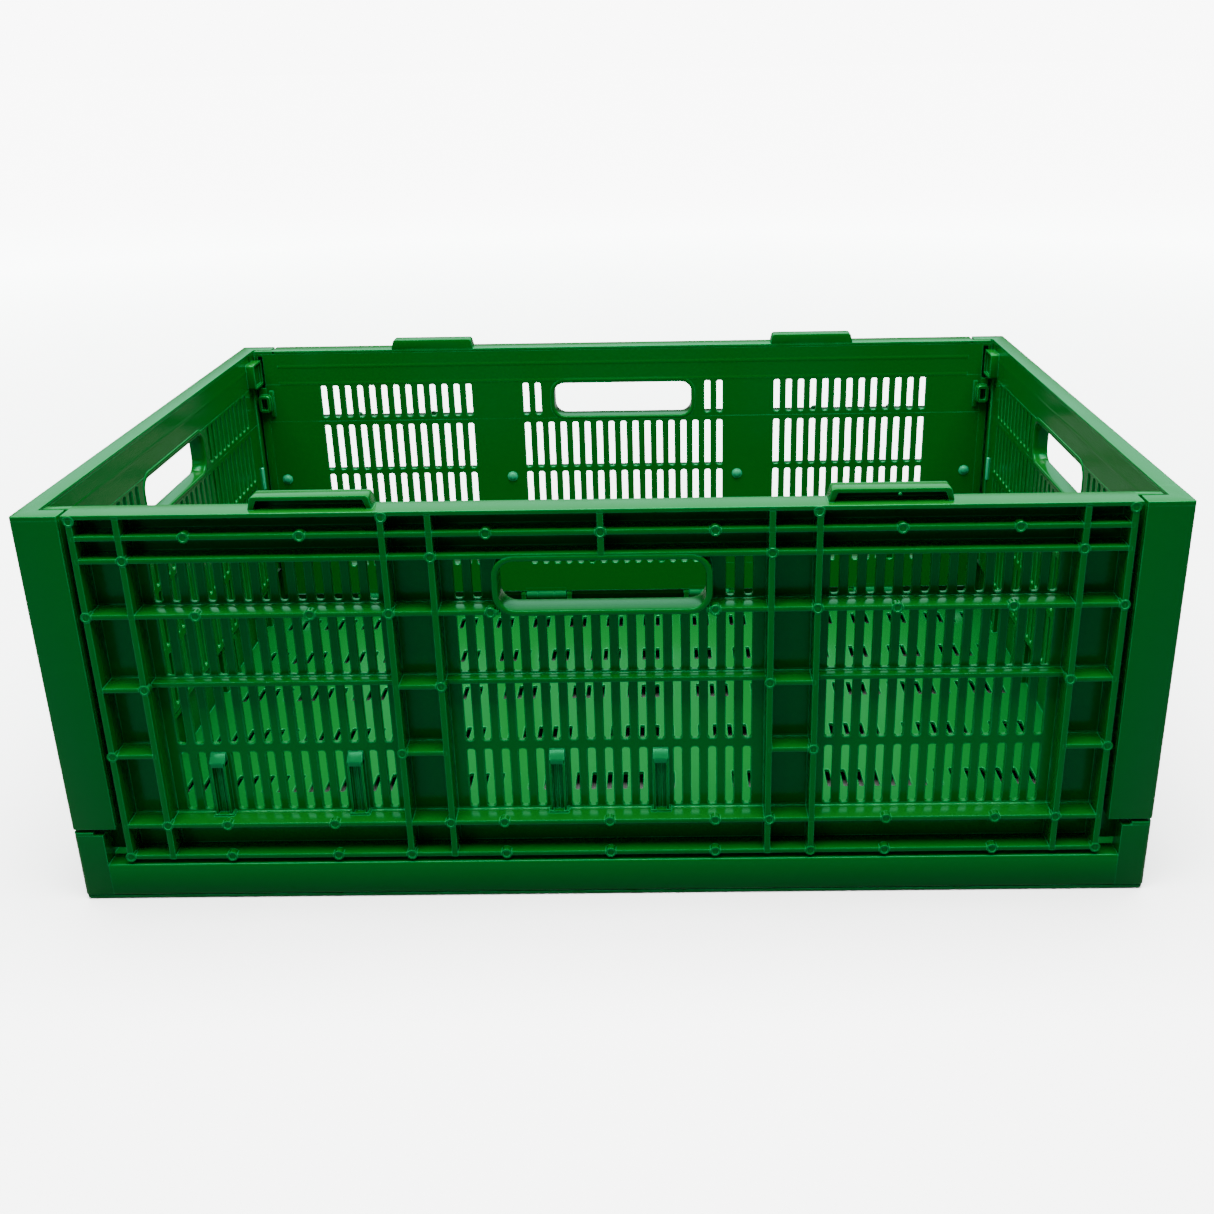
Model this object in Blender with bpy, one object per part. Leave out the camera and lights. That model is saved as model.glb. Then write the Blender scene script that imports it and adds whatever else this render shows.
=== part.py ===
"""Collapsible ventilated storage crate, 600 x 400 mm, standing open.

Frame: +X along the long walls, +Y to the back, +Z up, metres.
The origin is the middle of the footprint on the floor.

Five mouldings make the crate: a base tray, two identical long walls and two
identical end walls. Short hinge pins hold the walls to the base. The long
walls fold first, onto the floor. Their skins lap behind the corner flanges
of the end walls, which hinge higher up.
"""

import math

import bmesh
import bpy

# Overall sizes.
LENGTH = 0.600
WIDTH = 0.400
RIM_Z = 0.2314
TAB_HEIGHT = 0.0072
PLATE = 0.0027

# Base tray.
FOOT_Z = 0.0064
FOOT_INSET = 0.0022
FOOT_WIDTH = 0.012
FLOOR_LOW = 0.0072
FLOOR_TOP = 0.0098
RAIL_Z = 0.0228
RAIL_DEPTH = 0.0118
UPSTAND_Z = 0.0454
UPSTAND_DEPTH = 0.0054
POST_WIDTH = 0.0165
POST_DEPTH = 0.0105
POST_Z = 0.0440
CORNER_RADIUS = 0.006
FLOOR_CELLS = (4, 3)
CELL_VENTS = (3, 2)
VENT_LENGTH = 0.034
VENT_WIDTH = 0.012
FLOOR_RIB = 0.0022
FLOOR_RIB_Z = 0.0020

# Long wall. Depths are measured inwards from the crate's outer face.
LONG_FACE = 0.0006
LONG_INNER = 0.0165
LONG_SKIN = 0.0138
LAP_FACE = 0.0116
LAP_END = LENGTH / 2 - 0.0126
LAP_RIB_PITCH = 0.0300
LONG_HALF = 0.2723
LONG_BOTTOM = 0.0252
HALF_RIB_FACE = 0.0078
RIM_LIP = 0.0024
LEVEL_RIB = 0.0028
UPRIGHT_RIB = 0.0034
LEVELS = {"a": 0.2186, "b": 0.2060, "c": 0.1747, "d": 0.1319, "e": 0.0915,
          "f": 0.0474, "g": 0.0272}
OUTER_RIB_X = 0.2703
SECOND_RIB_X = 0.2464
THIRD_RIB_X = 0.1117
FOURTH_RIB_X = 0.0875

# Ventilation slots, the same pitch and rows in all four walls.
SLOT_PITCH = 0.00955
SLOT_WIDTH = 0.0050
SLOT_ROWS = ((0.1775, 0.2032), (0.1342, 0.1710), (0.0922, 0.1302), (0.0502, 0.0868))
SIDE_SLOTS_X = 0.1790
SIDE_SLOTS = 13
CENTRE_SLOTS = 17
END_SLOTS = 33
END_HANDLE_SLOTS = 13

# Hand holes.
HANDLE_HALF = 0.0540
HANDLE_LOW = 0.1772
HANDLE_HIGH = 0.2048
HANDLE_RADIUS = 0.0085
COLLAR = 0.0034

# Stacking tabs on the long walls' rims.
TAB_X = 0.1478
TAB_BASE_HALF = 0.0318
TAB_TOP_HALF = 0.0285
TAB_FRONT = 0.0052
TAB_WALL = 0.0022

# Card clips on the long walls, two slots wide, standing on rib f.
CLIPS_X = (-0.2169, -0.1405, -0.02865, 0.02865)
CLIP_WIDTH = 0.0086
CLIP_FACE = 0.0088
CLIP_TOP = 0.0862
CLIP_THICK = 0.0020

# End wall. Depths are measured inwards from the crate's end face.
END_FACE = 0.0004
END_INNER = 0.0105
END_SKIN = 0.0078
END_BOTTOM = 0.0466
COLUMN_HALF = 0.1745
FLANGE_X = 0.0245
FLANGE_DEPTH = 0.0105
END_HANDLE_RIB_Y = 6.5 * SLOT_PITCH
END_OUTER_RIB_Y = 0.1605

# Corner guides on the end walls and the snap lugs on the long walls.
GUIDE_DEPTH = 0.0055
GUIDE_Y = (0.1650, 0.1860)
GUIDE_Z = (0.2045, 0.2245)
NOTCH_CLEARANCE = 0.0024
LUG_X = (0.2775, 0.2872)
LUG_Z = (0.1845, 0.1965)
LUG_DEPTH = 0.0060
LUG_WALL = 0.0020

# Hinges.
LONG_AXIS_DEPTH = 0.0125
LONG_AXIS_Z = 0.0220
LONG_HINGES_X = (-0.2050, -0.0680, 0.0680, 0.2050)
LONG_KNUCKLE_WIDTH = 0.033
LONG_KNUCKLE_RADIUS = 0.0050
LONG_LUG_RADIUS = 0.0044
END_AXIS_DEPTH = 0.0060
END_AXIS_Z = 0.0420
END_HINGES_Y = (-0.1400, -0.0520, 0.0520, 0.1400)
END_KNUCKLE_WIDTH = 0.024
END_KNUCKLE_RADIUS = 0.0036
END_LUG_RADIUS = 0.0034
HINGE_LUG = 0.004
SIDE_GAP = 0.0005
PIN_RADIUS = 0.0018
PIN_CLEARANCE = 0.0003
PIN_PROUD = 0.0005
ROUND_SIDES = 12

GREEN = (0.004, 0.155, 0.035, 1.0)
PIN_GREEN = (0.030, 0.300, 0.130, 1.0)


def clear_scene():
    for item in list(bpy.data.objects):
        bpy.data.objects.remove(item, do_unlink=True)


def plastic(name, colour, roughness):
    """Moulded polypropylene."""
    material = bpy.data.materials.new(name)
    material.use_nodes = True
    shader = material.node_tree.nodes["Principled BSDF"]
    shader.inputs["Base Color"].default_value = colour
    shader.inputs["Roughness"].default_value = roughness
    shader.inputs["Metallic"].default_value = 0.0
    return material


class Shape:
    """Closed solids gathered in one mesh, for a Boolean to join or to cut with."""

    def __init__(self):
        self.mesh = bmesh.new()

    def prism(self, outline, place, low, high):
        """An outline of (a, b) points swept from low to high; place(a, b, c) is (x, y, z)."""
        rings = [[self.mesh.verts.new(place(a, b, c)) for a, b in outline] for c in (low, high)]
        faces = [self.mesh.faces.new(ring) for ring in rings]
        count = len(outline)
        for i in range(count):
            j = (i + 1) % count
            quad = (rings[0][i], rings[0][j], rings[1][j], rings[1][i])
            faces.append(self.mesh.faces.new(quad))
        bmesh.ops.recalc_face_normals(self.mesh, faces=faces)

    def box(self, x, y, z):
        """A box from its (low, high) pairs."""
        (x0, x1), (y0, y1), (z0, z1) = sorted(x), sorted(y), sorted(z)
        outline = ((x0, y0), (x1, y0), (x1, y1), (x0, y1))
        self.prism(outline, lambda a, b, c: (a, b, c), z0, z1)

    def rod_x(self, y, z, radius, low, high):
        """A round bar along X."""
        self.prism(circle(y, z, radius), lambda a, b, c: (c, a, b), low, high)

    def rod_y(self, x, z, radius, low, high):
        """A round bar along Y."""
        self.prism(circle(x, z, radius), lambda a, b, c: (a, c, b), low, high)

    def object(self, name):
        data = bpy.data.meshes.new(name)
        self.mesh.to_mesh(data)
        self.mesh.free()
        made = bpy.data.objects.new(name, data)
        bpy.context.scene.collection.objects.link(made)
        return made


def circle(a, b, radius):
    step = 2 * math.pi / ROUND_SIDES
    turns = [step * (i + 0.5) for i in range(ROUND_SIDES)]
    return [(a + radius * math.cos(t), b + radius * math.sin(t)) for t in turns]


def rounded(low_a, high_a, low_b, high_b, radius, sides=4):
    """A rectangle's outline with its corners as arcs of a few sides."""
    points = []
    corners = ((high_a, high_b, 0), (low_a, high_b, 1), (low_a, low_b, 2), (high_a, low_b, 3))
    for a, b, quarter in corners:
        centre_a = a - math.copysign(radius, a - (low_a + high_a) / 2)
        centre_b = b - math.copysign(radius, b - (low_b + high_b) / 2)
        for i in range(sides + 1):
            turn = (quarter + i / sides) * math.pi / 2
            points.append((centre_a + radius * math.cos(turn), centre_b + radius * math.sin(turn)))
    return points


def carve(name, *steps):
    """Plain mesh data from shapes that are in turn added and cut away."""
    objects = [shape.object(f"{name}_{number}") for number, shape in enumerate(steps)]
    body = objects[0]
    for number, operand in enumerate(objects[1:]):
        modifier = body.modifiers.new(operand.name, "BOOLEAN")
        modifier.operation = "UNION" if number % 2 else "DIFFERENCE"
        modifier.solver = "EXACT"
        modifier.use_self = True
        modifier.object = operand
    evaluated = body.evaluated_get(bpy.context.evaluated_depsgraph_get())
    data = bpy.data.meshes.new_from_object(evaluated)
    for item in objects:
        bpy.data.objects.remove(item, do_unlink=True)
    data.name = name
    return data


def place(name, data, material, location, turned=False):
    """An object of the mesh at location, turned half round Z for the opposite side."""
    made = bpy.data.objects.new(name, data)
    bpy.context.scene.collection.objects.link(made)
    if not data.materials:
        data.materials.append(material)
    made.location = location
    made.rotation_euler = (0, 0, math.pi if turned else 0)
    return made


def slot_places(middle, count, skip=0):
    """Slot centres round middle, leaving out the skip slots nearest to it."""
    half, gap = count // 2, skip // 2
    steps = [n for n in range(-half, half + 1) if skip == 0 or abs(n) > gap]
    return [middle + n * SLOT_PITCH for n in steps]


def long_wall():
    """The front wall, with its hinge axis as the X axis and +Y inwards."""
    solid, cuts = Shape(), Shape()

    def depth(value):
        return value - LONG_AXIS_DEPTH

    def height(value):
        return value - LONG_AXIS_Z

    def bar(x, face, z, back=LONG_SKIN + PLATE / 2):
        solid.box(x, (depth(face), depth(back)), (height(z[0]), height(z[1])))

    inner = LONG_INNER
    solid.box((-LAP_END, LAP_END), (depth(LONG_SKIN), depth(inner)),
              (height(LONG_BOTTOM), height(RIM_Z)))
    bar((-LONG_HALF, LONG_HALF), LONG_FACE, (RIM_Z - RIM_LIP, RIM_Z))
    for side in (-1, 1):
        bar((side * (LONG_HALF - 0.001), side * LAP_END), LAP_FACE, (RIM_Z - RIM_LIP, RIM_Z))

    ribs = dict(LEVELS)
    half_deep, cell_only = ribs.pop("d"), ribs.pop("e")
    for z in ribs.values():
        bar((-OUTER_RIB_X, OUTER_RIB_X), LONG_FACE, (z - LEVEL_RIB / 2, z + LEVEL_RIB / 2))
    span = (half_deep - LEVEL_RIB / 2, half_deep + LEVEL_RIB / 2)
    bar((-OUTER_RIB_X, OUTER_RIB_X), HALF_RIB_FACE, span)
    for side in (-1, 1):
        for low, high in ((THIRD_RIB_X, FOURTH_RIB_X), (OUTER_RIB_X, SECOND_RIB_X)):
            for z in (half_deep, cell_only):
                span = (z - LEVEL_RIB / 2, z + LEVEL_RIB / 2)
                bar((side * low, side * high), LONG_FACE, span)
        upright = (LEVELS["g"] - LEVEL_RIB / 2, RIM_Z - RIM_LIP / 2)
        for x in (OUTER_RIB_X, SECOND_RIB_X, THIRD_RIB_X, FOURTH_RIB_X):
            bar((side * x - UPRIGHT_RIB / 2, side * x + UPRIGHT_RIB / 2), LONG_FACE, upright)
    bar((-UPRIGHT_RIB / 2, UPRIGHT_RIB / 2), LONG_FACE, (LEVELS["b"], RIM_Z - RIM_LIP / 2))

    lap_z = END_BOTTOM + LAP_RIB_PITCH / 2
    while lap_z < RIM_Z - LAP_RIB_PITCH / 2:
        if not GUIDE_Z[0] - 0.004 < lap_z < GUIDE_Z[1] + 0.004:
            for side in (-1, 1):
                x = (side * OUTER_RIB_X, side * (LAP_END - 0.001))
                bar(x, LAP_FACE, (lap_z, lap_z + PLATE / 2))
        lap_z += LAP_RIB_PITCH

    def face_prism(shape, outline, low, high):
        points = [(x, height(z)) for x, z in outline]
        shape.prism(points, lambda a, b, c: (a, c, b), depth(low), depth(high))

    collar = rounded(-HANDLE_HALF - COLLAR, HANDLE_HALF + COLLAR, HANDLE_LOW - COLLAR,
                     HANDLE_HIGH + COLLAR / 2, HANDLE_RADIUS + COLLAR)
    face_prism(solid, collar, LONG_FACE, LONG_SKIN + PLATE / 2)
    hole = rounded(-HANDLE_HALF, HANDLE_HALF, HANDLE_LOW, HANDLE_HIGH, HANDLE_RADIUS)
    face_prism(cuts, hole, -0.004, LONG_INNER + 0.004)

    for side in (-1, 1):
        tab(face_prism, solid, cuts, side * TAB_X)

    for x in CLIPS_X:
        spread = (x - CLIP_WIDTH / 2, x + CLIP_WIDTH / 2)
        solid.box(spread, (depth(CLIP_FACE), depth(CLIP_FACE + CLIP_THICK)),
                  (height(LEVELS["f"]), height(CLIP_TOP)))
        solid.box(spread, (depth(CLIP_FACE), depth(LONG_SKIN + PLATE / 2)),
                  (height(CLIP_TOP - PLATE), height(CLIP_TOP)))

    for number, (low, high) in enumerate(SLOT_ROWS):
        skip = CENTRE_SLOTS - 4 if number == 0 else 0
        places = slot_places(0, CENTRE_SLOTS, skip)
        for side in (-1, 1):
            places += slot_places(side * SIDE_SLOTS_X, SIDE_SLOTS)
        for x in places:
            width = (x - SLOT_WIDTH / 2, x + SLOT_WIDTH / 2)
            cuts.box(width, (depth(LONG_SKIN - 0.0006), depth(inner + 0.002)),
                     (height(low), height(high)))

    for side in (-1, 1):
        notch_x = LENGTH / 2 - END_INNER - GUIDE_DEPTH - NOTCH_CLEARANCE
        cuts.box((side * notch_x, side * (LAP_END + 0.002)), (depth(LONG_SKIN - 0.004),
                 depth(inner + 0.002)), (height(GUIDE_Z[0] - NOTCH_CLEARANCE),
                 height(GUIDE_Z[1] + NOTCH_CLEARANCE)))
        solid.box((side * LUG_X[0], side * LUG_X[1]), (depth(inner - PLATE / 2),
                  depth(inner + LUG_DEPTH)), (height(LUG_Z[0]), height(LUG_Z[1])))
        cuts.box((side * (LUG_X[0] + LUG_WALL), side * (LUG_X[1] - LUG_WALL)),
                 (depth(LONG_SKIN - 0.004), depth(inner + LUG_DEPTH + 0.002)),
                 (height(LUG_Z[0] + LUG_WALL), height(LUG_Z[1] - LUG_WALL)))

    reach = LONG_KNUCKLE_RADIUS
    for x in LONG_HINGES_X:
        edge = LONG_KNUCKLE_WIDTH / 2
        solid.rod_x(0, 0, reach, x - edge, x + edge)
        solid.box((x - edge, x + edge), (-reach * 0.96, reach * 0.96), (0, height(LEVELS["g"])))
        cuts.rod_x(0, 0, PIN_RADIUS + PIN_CLEARANCE, x - edge - 0.001, x + edge + 0.001)
        for side in (-1, 1):
            near, far = edge, edge + HINGE_LUG + 2 * SIDE_GAP
            cuts.box((x + side * near, x + side * far), (depth(0.0070), depth(inner + 0.002)),
                     (height(LONG_BOTTOM - 0.002), height(LONG_BOTTOM + 0.0054)))
    return carve("long_wall", solid, cuts)


def tab(face_prism, solid, cuts, x):
    """A stacking tab on the rim: a hollow bar with sloping ends, open to the outside."""
    top = RIM_Z + TAB_HEIGHT
    outer = ((x - TAB_BASE_HALF, RIM_Z - RIM_LIP / 2), (x + TAB_BASE_HALF, RIM_Z - RIM_LIP / 2),
             (x + TAB_BASE_HALF, RIM_Z), (x + TAB_TOP_HALF, top), (x - TAB_TOP_HALF, top),
             (x - TAB_BASE_HALF, RIM_Z))
    face_prism(solid, outer, TAB_FRONT, LONG_INNER)
    inner_top = top - TAB_WALL
    low, high = TAB_BASE_HALF - TAB_WALL * 1.3, TAB_TOP_HALF - TAB_WALL
    hollow = ((x - low, RIM_Z + 0.0002), (x + low, RIM_Z + 0.0002), (x + high, inner_top),
              (x - high, inner_top))
    face_prism(cuts, hollow, TAB_FRONT - 0.001, LONG_INNER - TAB_WALL)


def end_wall():
    """The left end wall, with its hinge axis as the Y axis and +X inwards."""
    solid, cuts = Shape(), Shape()
    half = WIDTH / 2

    def depth(value):
        return value - END_AXIS_DEPTH

    def height(value):
        return value - END_AXIS_Z

    def bar(y, face, z, back=END_SKIN + PLATE / 2):
        solid.box((depth(face), depth(back)), y, (height(z[0]), height(z[1])))

    reach = half - FLANGE_DEPTH + 0.001
    solid.box((depth(END_SKIN), depth(END_INNER)), (-reach, reach),
              (height(END_BOTTOM), height(RIM_Z)))
    bar((-reach, reach), END_FACE, (RIM_Z - RIM_LIP, RIM_Z))
    for name, z in LEVELS.items():
        if name == "f":
            z = END_BOTTOM + LEVEL_RIB / 2
        if name != "g":
            bar((-COLUMN_HALF - 0.001, COLUMN_HALF + 0.001), END_FACE,
                (z - LEVEL_RIB / 2, z + LEVEL_RIB / 2))
    for y in (END_HANDLE_RIB_Y, END_OUTER_RIB_Y):
        for side in (-1, 1):
            bar((side * y - UPRIGHT_RIB / 2, side * y + UPRIGHT_RIB / 2), END_FACE,
                (END_BOTTOM, RIM_Z - RIM_LIP / 2))

    def corner(side, x, y, radius, z):
        """The corner column's plan between x and y depths, rounded outside by radius."""
        points = [(x[1], side * (half - y[0])), (x[1], side * (half - y[1])),
                  (x[0], side * (half - y[1]))]
        arc = []
        for i in range(6):
            turn = i / 5 * math.pi / 2
            arc.append((x[0] + radius * (1 - math.cos(turn)),
                        side * (half - y[0] - radius * (1 - math.sin(turn)))))
        plan = [(depth(a), b) for a, b in points + arc]
        return plan, height(z[0]), height(z[1])

    for side in (-1, 1):
        column = half - COLUMN_HALF
        bottom = (END_BOTTOM - 0.0006, RIM_Z)
        plan, low, high = corner(side, (0, END_INNER), (0, column), CORNER_RADIUS, bottom)
        solid.prism(plan, lambda a, b, c: (a, b, c), low, high)
        flange_y = (side * half, side * (half - FLANGE_DEPTH))
        solid.box((depth(END_INNER - 0.001), depth(FLANGE_X)), flange_y,
                  (height(END_BOTTOM), height(RIM_Z)))
        hollow_y = (side * (half - PLATE), side * (half - FLANGE_DEPTH - 0.001))
        bay, rib = LAP_RIB_PITCH * 2, PLATE * 0.7
        low = END_BOTTOM + rib
        while low < RIM_Z - RIM_LIP - rib:
            high = min(low + bay - rib, RIM_Z - RIM_LIP)
            cuts.box((depth(END_INNER + PLATE), depth(FLANGE_X - PLATE)), hollow_y,
                     (height(low), height(high)))
            low += bay
        cuts.box((depth(PLATE), depth(END_SKIN)),
                 (side * (COLUMN_HALF + PLATE), side * (half - PLATE)),
                 (height(END_BOTTOM - 0.002), height(RIM_Z - RIM_LIP)))
        solid.box((depth(END_INNER - 0.001), depth(END_INNER + GUIDE_DEPTH)),
                  (side * GUIDE_Y[0], side * GUIDE_Y[1]), (height(GUIDE_Z[0]), height(GUIDE_Z[1])))

    def side_prism(shape, outline, low, high):
        points = [(y, height(z)) for y, z in outline]
        shape.prism(points, lambda a, b, c: (c, a, b), depth(low), depth(high))

    collar = rounded(-HANDLE_HALF - COLLAR, HANDLE_HALF + COLLAR, HANDLE_LOW - COLLAR,
                     HANDLE_HIGH + COLLAR / 2, HANDLE_RADIUS + COLLAR)
    side_prism(solid, collar, END_FACE, END_INNER - PLATE / 2)
    hole = rounded(-HANDLE_HALF, HANDLE_HALF, HANDLE_LOW, HANDLE_HIGH, HANDLE_RADIUS)
    side_prism(cuts, hole, -0.004, END_INNER + 0.004)

    for number, (low, high) in enumerate(SLOT_ROWS):
        skip = END_HANDLE_SLOTS if number == 0 else 0
        for y in slot_places(0, END_SLOTS, skip):
            width = (y - SLOT_WIDTH / 2, y + SLOT_WIDTH / 2)
            cuts.box((depth(END_SKIN - 0.0006), depth(END_INNER + 0.002)), width,
                     (height(low), height(high)))

    reach = END_KNUCKLE_RADIUS
    for y in END_HINGES_Y:
        edge = END_KNUCKLE_WIDTH / 2
        solid.rod_y(0, 0, reach, y - edge, y + edge)
        solid.box((-reach * 0.96, reach * 0.96), (y - edge, y + edge),
                  (0, height(END_BOTTOM + LEVEL_RIB / 2)))
        cuts.rod_y(0, 0, PIN_RADIUS + PIN_CLEARANCE, y - edge - 0.001, y + edge + 0.001)
    return carve("end_wall", solid, cuts)


def base_tray():
    """The tray: floor, foot ring, rails under the long walls, upstands under the end walls."""
    solid, cuts, lugs, bores = Shape(), Shape(), Shape(), Shape()
    half_x, half_y = LENGTH / 2, WIDTH / 2

    def flat(a, b, c):
        return a, b, c

    foot = rounded(-half_x + FOOT_INSET, half_x - FOOT_INSET, -half_y + FOOT_INSET,
                   half_y - FOOT_INSET, CORNER_RADIUS - FOOT_INSET, 5)
    solid.prism(foot, flat, 0, FLOOR_TOP - PLATE / 2)
    skirt = rounded(-half_x, half_x, -half_y, half_y, CORNER_RADIUS, 5)
    solid.prism(skirt, flat, FOOT_Z, RAIL_Z)
    for side in (-1, 1):
        x = (side * half_x, side * (half_x - UPSTAND_DEPTH))
        solid.box(x, (-half_y + CORNER_RADIUS, half_y - CORNER_RADIUS),
                  (FOOT_Z + 0.001, UPSTAND_Z))
        for end in (-1, 1):
            post = rounded(-0.5 * POST_WIDTH, 0.5 * POST_WIDTH, -0.5 * POST_DEPTH,
                           0.5 * POST_DEPTH, CORNER_RADIUS * 0.8, 5)
            middle = (side * (half_x - POST_WIDTH / 2), end * (half_y - POST_DEPTH / 2))
            square = post_plan(post, side, end)
            plan = [(middle[0] + a, middle[1] + b) for a, b in square]
            solid.prism(plan, flat, RAIL_Z - 0.001, POST_Z)

    rail = half_y - RAIL_DEPTH
    cuts.box((-half_x + UPSTAND_DEPTH, half_x - UPSTAND_DEPTH), (-rail, rail),
             (FLOOR_TOP, RAIL_Z + 0.002))
    for side in (-1, 1):
        cuts.box((-half_x + POST_WIDTH, half_x - POST_WIDTH),
                 (side * (half_y - PLATE), side * (rail - 0.001)), (FLOOR_TOP, RAIL_Z - PLATE))
    floor_cells(cuts)
    long_hinge_seats(cuts, lugs, bores)
    end_hinge_seats(cuts, lugs, bores)
    return carve("base_tray", solid, cuts, lugs, bores)


def floor_cells(cuts):
    """Cells between the ribs under the floor, each with its vents."""
    ring = FOOT_INSET + FOOT_WIDTH
    reach = (LENGTH / 2 - ring, WIDTH / 2 - ring)
    cuts.box((-reach[0], reach[0]), (-reach[1], reach[1]), (-0.002, FLOOR_RIB_Z))
    size = [2 * reach[axis] / FLOOR_CELLS[axis] for axis in (0, 1)]
    for i in range(FLOOR_CELLS[0]):
        for j in range(FLOOR_CELLS[1]):
            low = (size[0] * i - reach[0], size[1] * j - reach[1])
            edge = FLOOR_RIB / 2
            cuts.box((low[0] + edge, low[0] + size[0] - edge),
                     (low[1] + edge, low[1] + size[1] - edge), (FLOOR_RIB_Z - 0.001, FLOOR_LOW))
            for m in range(CELL_VENTS[0]):
                for n in range(CELL_VENTS[1]):
                    x = low[0] + size[0] * (m + 0.5) / CELL_VENTS[0]
                    y = low[1] + size[1] * (n + 0.5) / CELL_VENTS[1]
                    cuts.box((x - VENT_LENGTH / 2, x + VENT_LENGTH / 2),
                             (y - VENT_WIDTH / 2, y + VENT_WIDTH / 2),
                             (FLOOR_LOW - 0.001, FLOOR_TOP + 0.002))


def post_plan(outline, side, end):
    """The post's outline with only its outer corner left round."""
    a_most = max(abs(a) for a, _ in outline)
    b_most = max(abs(b) for _, b in outline)
    plan = []
    for a, b in outline:
        if a * side < 0 or b * end < 0:
            a, b = math.copysign(a_most, a), math.copysign(b_most, b)
        if not plan or (a, b) != plan[-1]:
            plan.append((a, b))
    return plan[:-1] if plan[0] == plan[-1] else plan


def long_hinge_seats(cuts, lugs, bores):
    """Room for the long walls' knuckles, and the lugs at their sides that carry the pins."""
    for side in (-1, 1):
        y = side * (WIDTH / 2 - LONG_AXIS_DEPTH)
        for x in LONG_HINGES_X:
            edge = LONG_KNUCKLE_WIDTH / 2 + SIDE_GAP
            clear = LONG_KNUCKLE_RADIUS + 0.0005
            cuts.box((x - edge, x + edge), (y - clear, y + clear),
                     (LONG_AXIS_Z - clear, LONG_AXIS_Z + clear))
            for end in (-1, 1):
                lug = sorted((x + end * edge, x + end * (edge + HINGE_LUG)))
                lugs.rod_x(y, LONG_AXIS_Z, LONG_LUG_RADIUS, *lug)
                lugs.box(lug, (y - LONG_LUG_RADIUS * 0.96, y + LONG_LUG_RADIUS * 0.96),
                         (FLOOR_LOW + 0.0005, LONG_AXIS_Z))
            far = edge + HINGE_LUG + 0.001
            bores.rod_x(y, LONG_AXIS_Z, PIN_RADIUS + PIN_CLEARANCE, x - far, x + far)


def end_hinge_seats(cuts, lugs, bores):
    """Room for the end walls' knuckles, and the lugs at their sides that carry the pins."""
    for side in (-1, 1):
        x = side * (LENGTH / 2 - END_AXIS_DEPTH)
        for y in END_HINGES_Y:
            edge = END_KNUCKLE_WIDTH / 2 + SIDE_GAP
            clear = END_KNUCKLE_RADIUS + 0.0005
            cuts.box((x - clear, x + clear), (y - edge, y + edge),
                     (END_AXIS_Z - clear, UPSTAND_Z + 0.002))
            for end in (-1, 1):
                lug = sorted((y + end * edge, y + end * (edge + HINGE_LUG)))
                lugs.rod_y(x, END_AXIS_Z, END_LUG_RADIUS, *lug)
                lugs.box((x - END_LUG_RADIUS * 0.96, x + END_LUG_RADIUS * 0.96), lug,
                         (FLOOR_LOW + 0.0005, END_AXIS_Z))
            far = edge + HINGE_LUG + 0.001
            bores.rod_y(x, END_AXIS_Z, PIN_RADIUS + PIN_CLEARANCE, y - far, y + far)


def hinge_pin(name, width):
    """A round pin along X, as long as its knuckle and two lugs."""
    half = width / 2 + SIDE_GAP + HINGE_LUG + PIN_PROUD
    pin = Shape()
    pin.rod_x(0, 0, PIN_RADIUS, -half, half)
    made = pin.object(name)
    data = made.data
    bpy.data.objects.remove(made, do_unlink=True)
    return data


def main():
    clear_scene()
    green = plastic("crate_green", GREEN, 0.32)
    pin_green = plastic("pin_green", PIN_GREEN, 0.35)
    axis_y = WIDTH / 2 - LONG_AXIS_DEPTH
    axis_x = LENGTH / 2 - END_AXIS_DEPTH

    place("base_tray", base_tray(), green, (0, 0, 0))
    data = long_wall()
    place("front_wall", data, green, (0, -axis_y, LONG_AXIS_Z))
    place("back_wall", data, green, (0, axis_y, LONG_AXIS_Z), turned=True)
    data = end_wall()
    place("left_end_wall", data, green, (-axis_x, 0, END_AXIS_Z))
    place("right_end_wall", data, green, (axis_x, 0, END_AXIS_Z), turned=True)

    data = hinge_pin("long_hinge_pin", LONG_KNUCKLE_WIDTH)
    for number, x in enumerate(LONG_HINGES_X, 1):
        place(f"front_hinge_pin_{number}", data, pin_green, (x, -axis_y, LONG_AXIS_Z))
        place(f"back_hinge_pin_{number}", data, pin_green, (-x, axis_y, LONG_AXIS_Z))
    data = hinge_pin("end_hinge_pin", END_KNUCKLE_WIDTH)
    for number, y in enumerate(END_HINGES_Y, 1):
        for word, x in (("left", -axis_x), ("right", axis_x)):
            made = place(f"{word}_hinge_pin_{number}", data, pin_green, (x, y, END_AXIS_Z))
            made.rotation_euler = (0, 0, math.pi / 2)


main()
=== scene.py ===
"""Looks for a folding ventilated crate: slotted, ribbed walls on a perforated tray.

Every moulding is built in its own flat frame and then stood in its place: U runs
along the wall, D goes inwards from the crate's outer face and Z is up, in metres.
"""

import math

import bmesh
import bpy
from mathutils import Matrix, Vector


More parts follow.
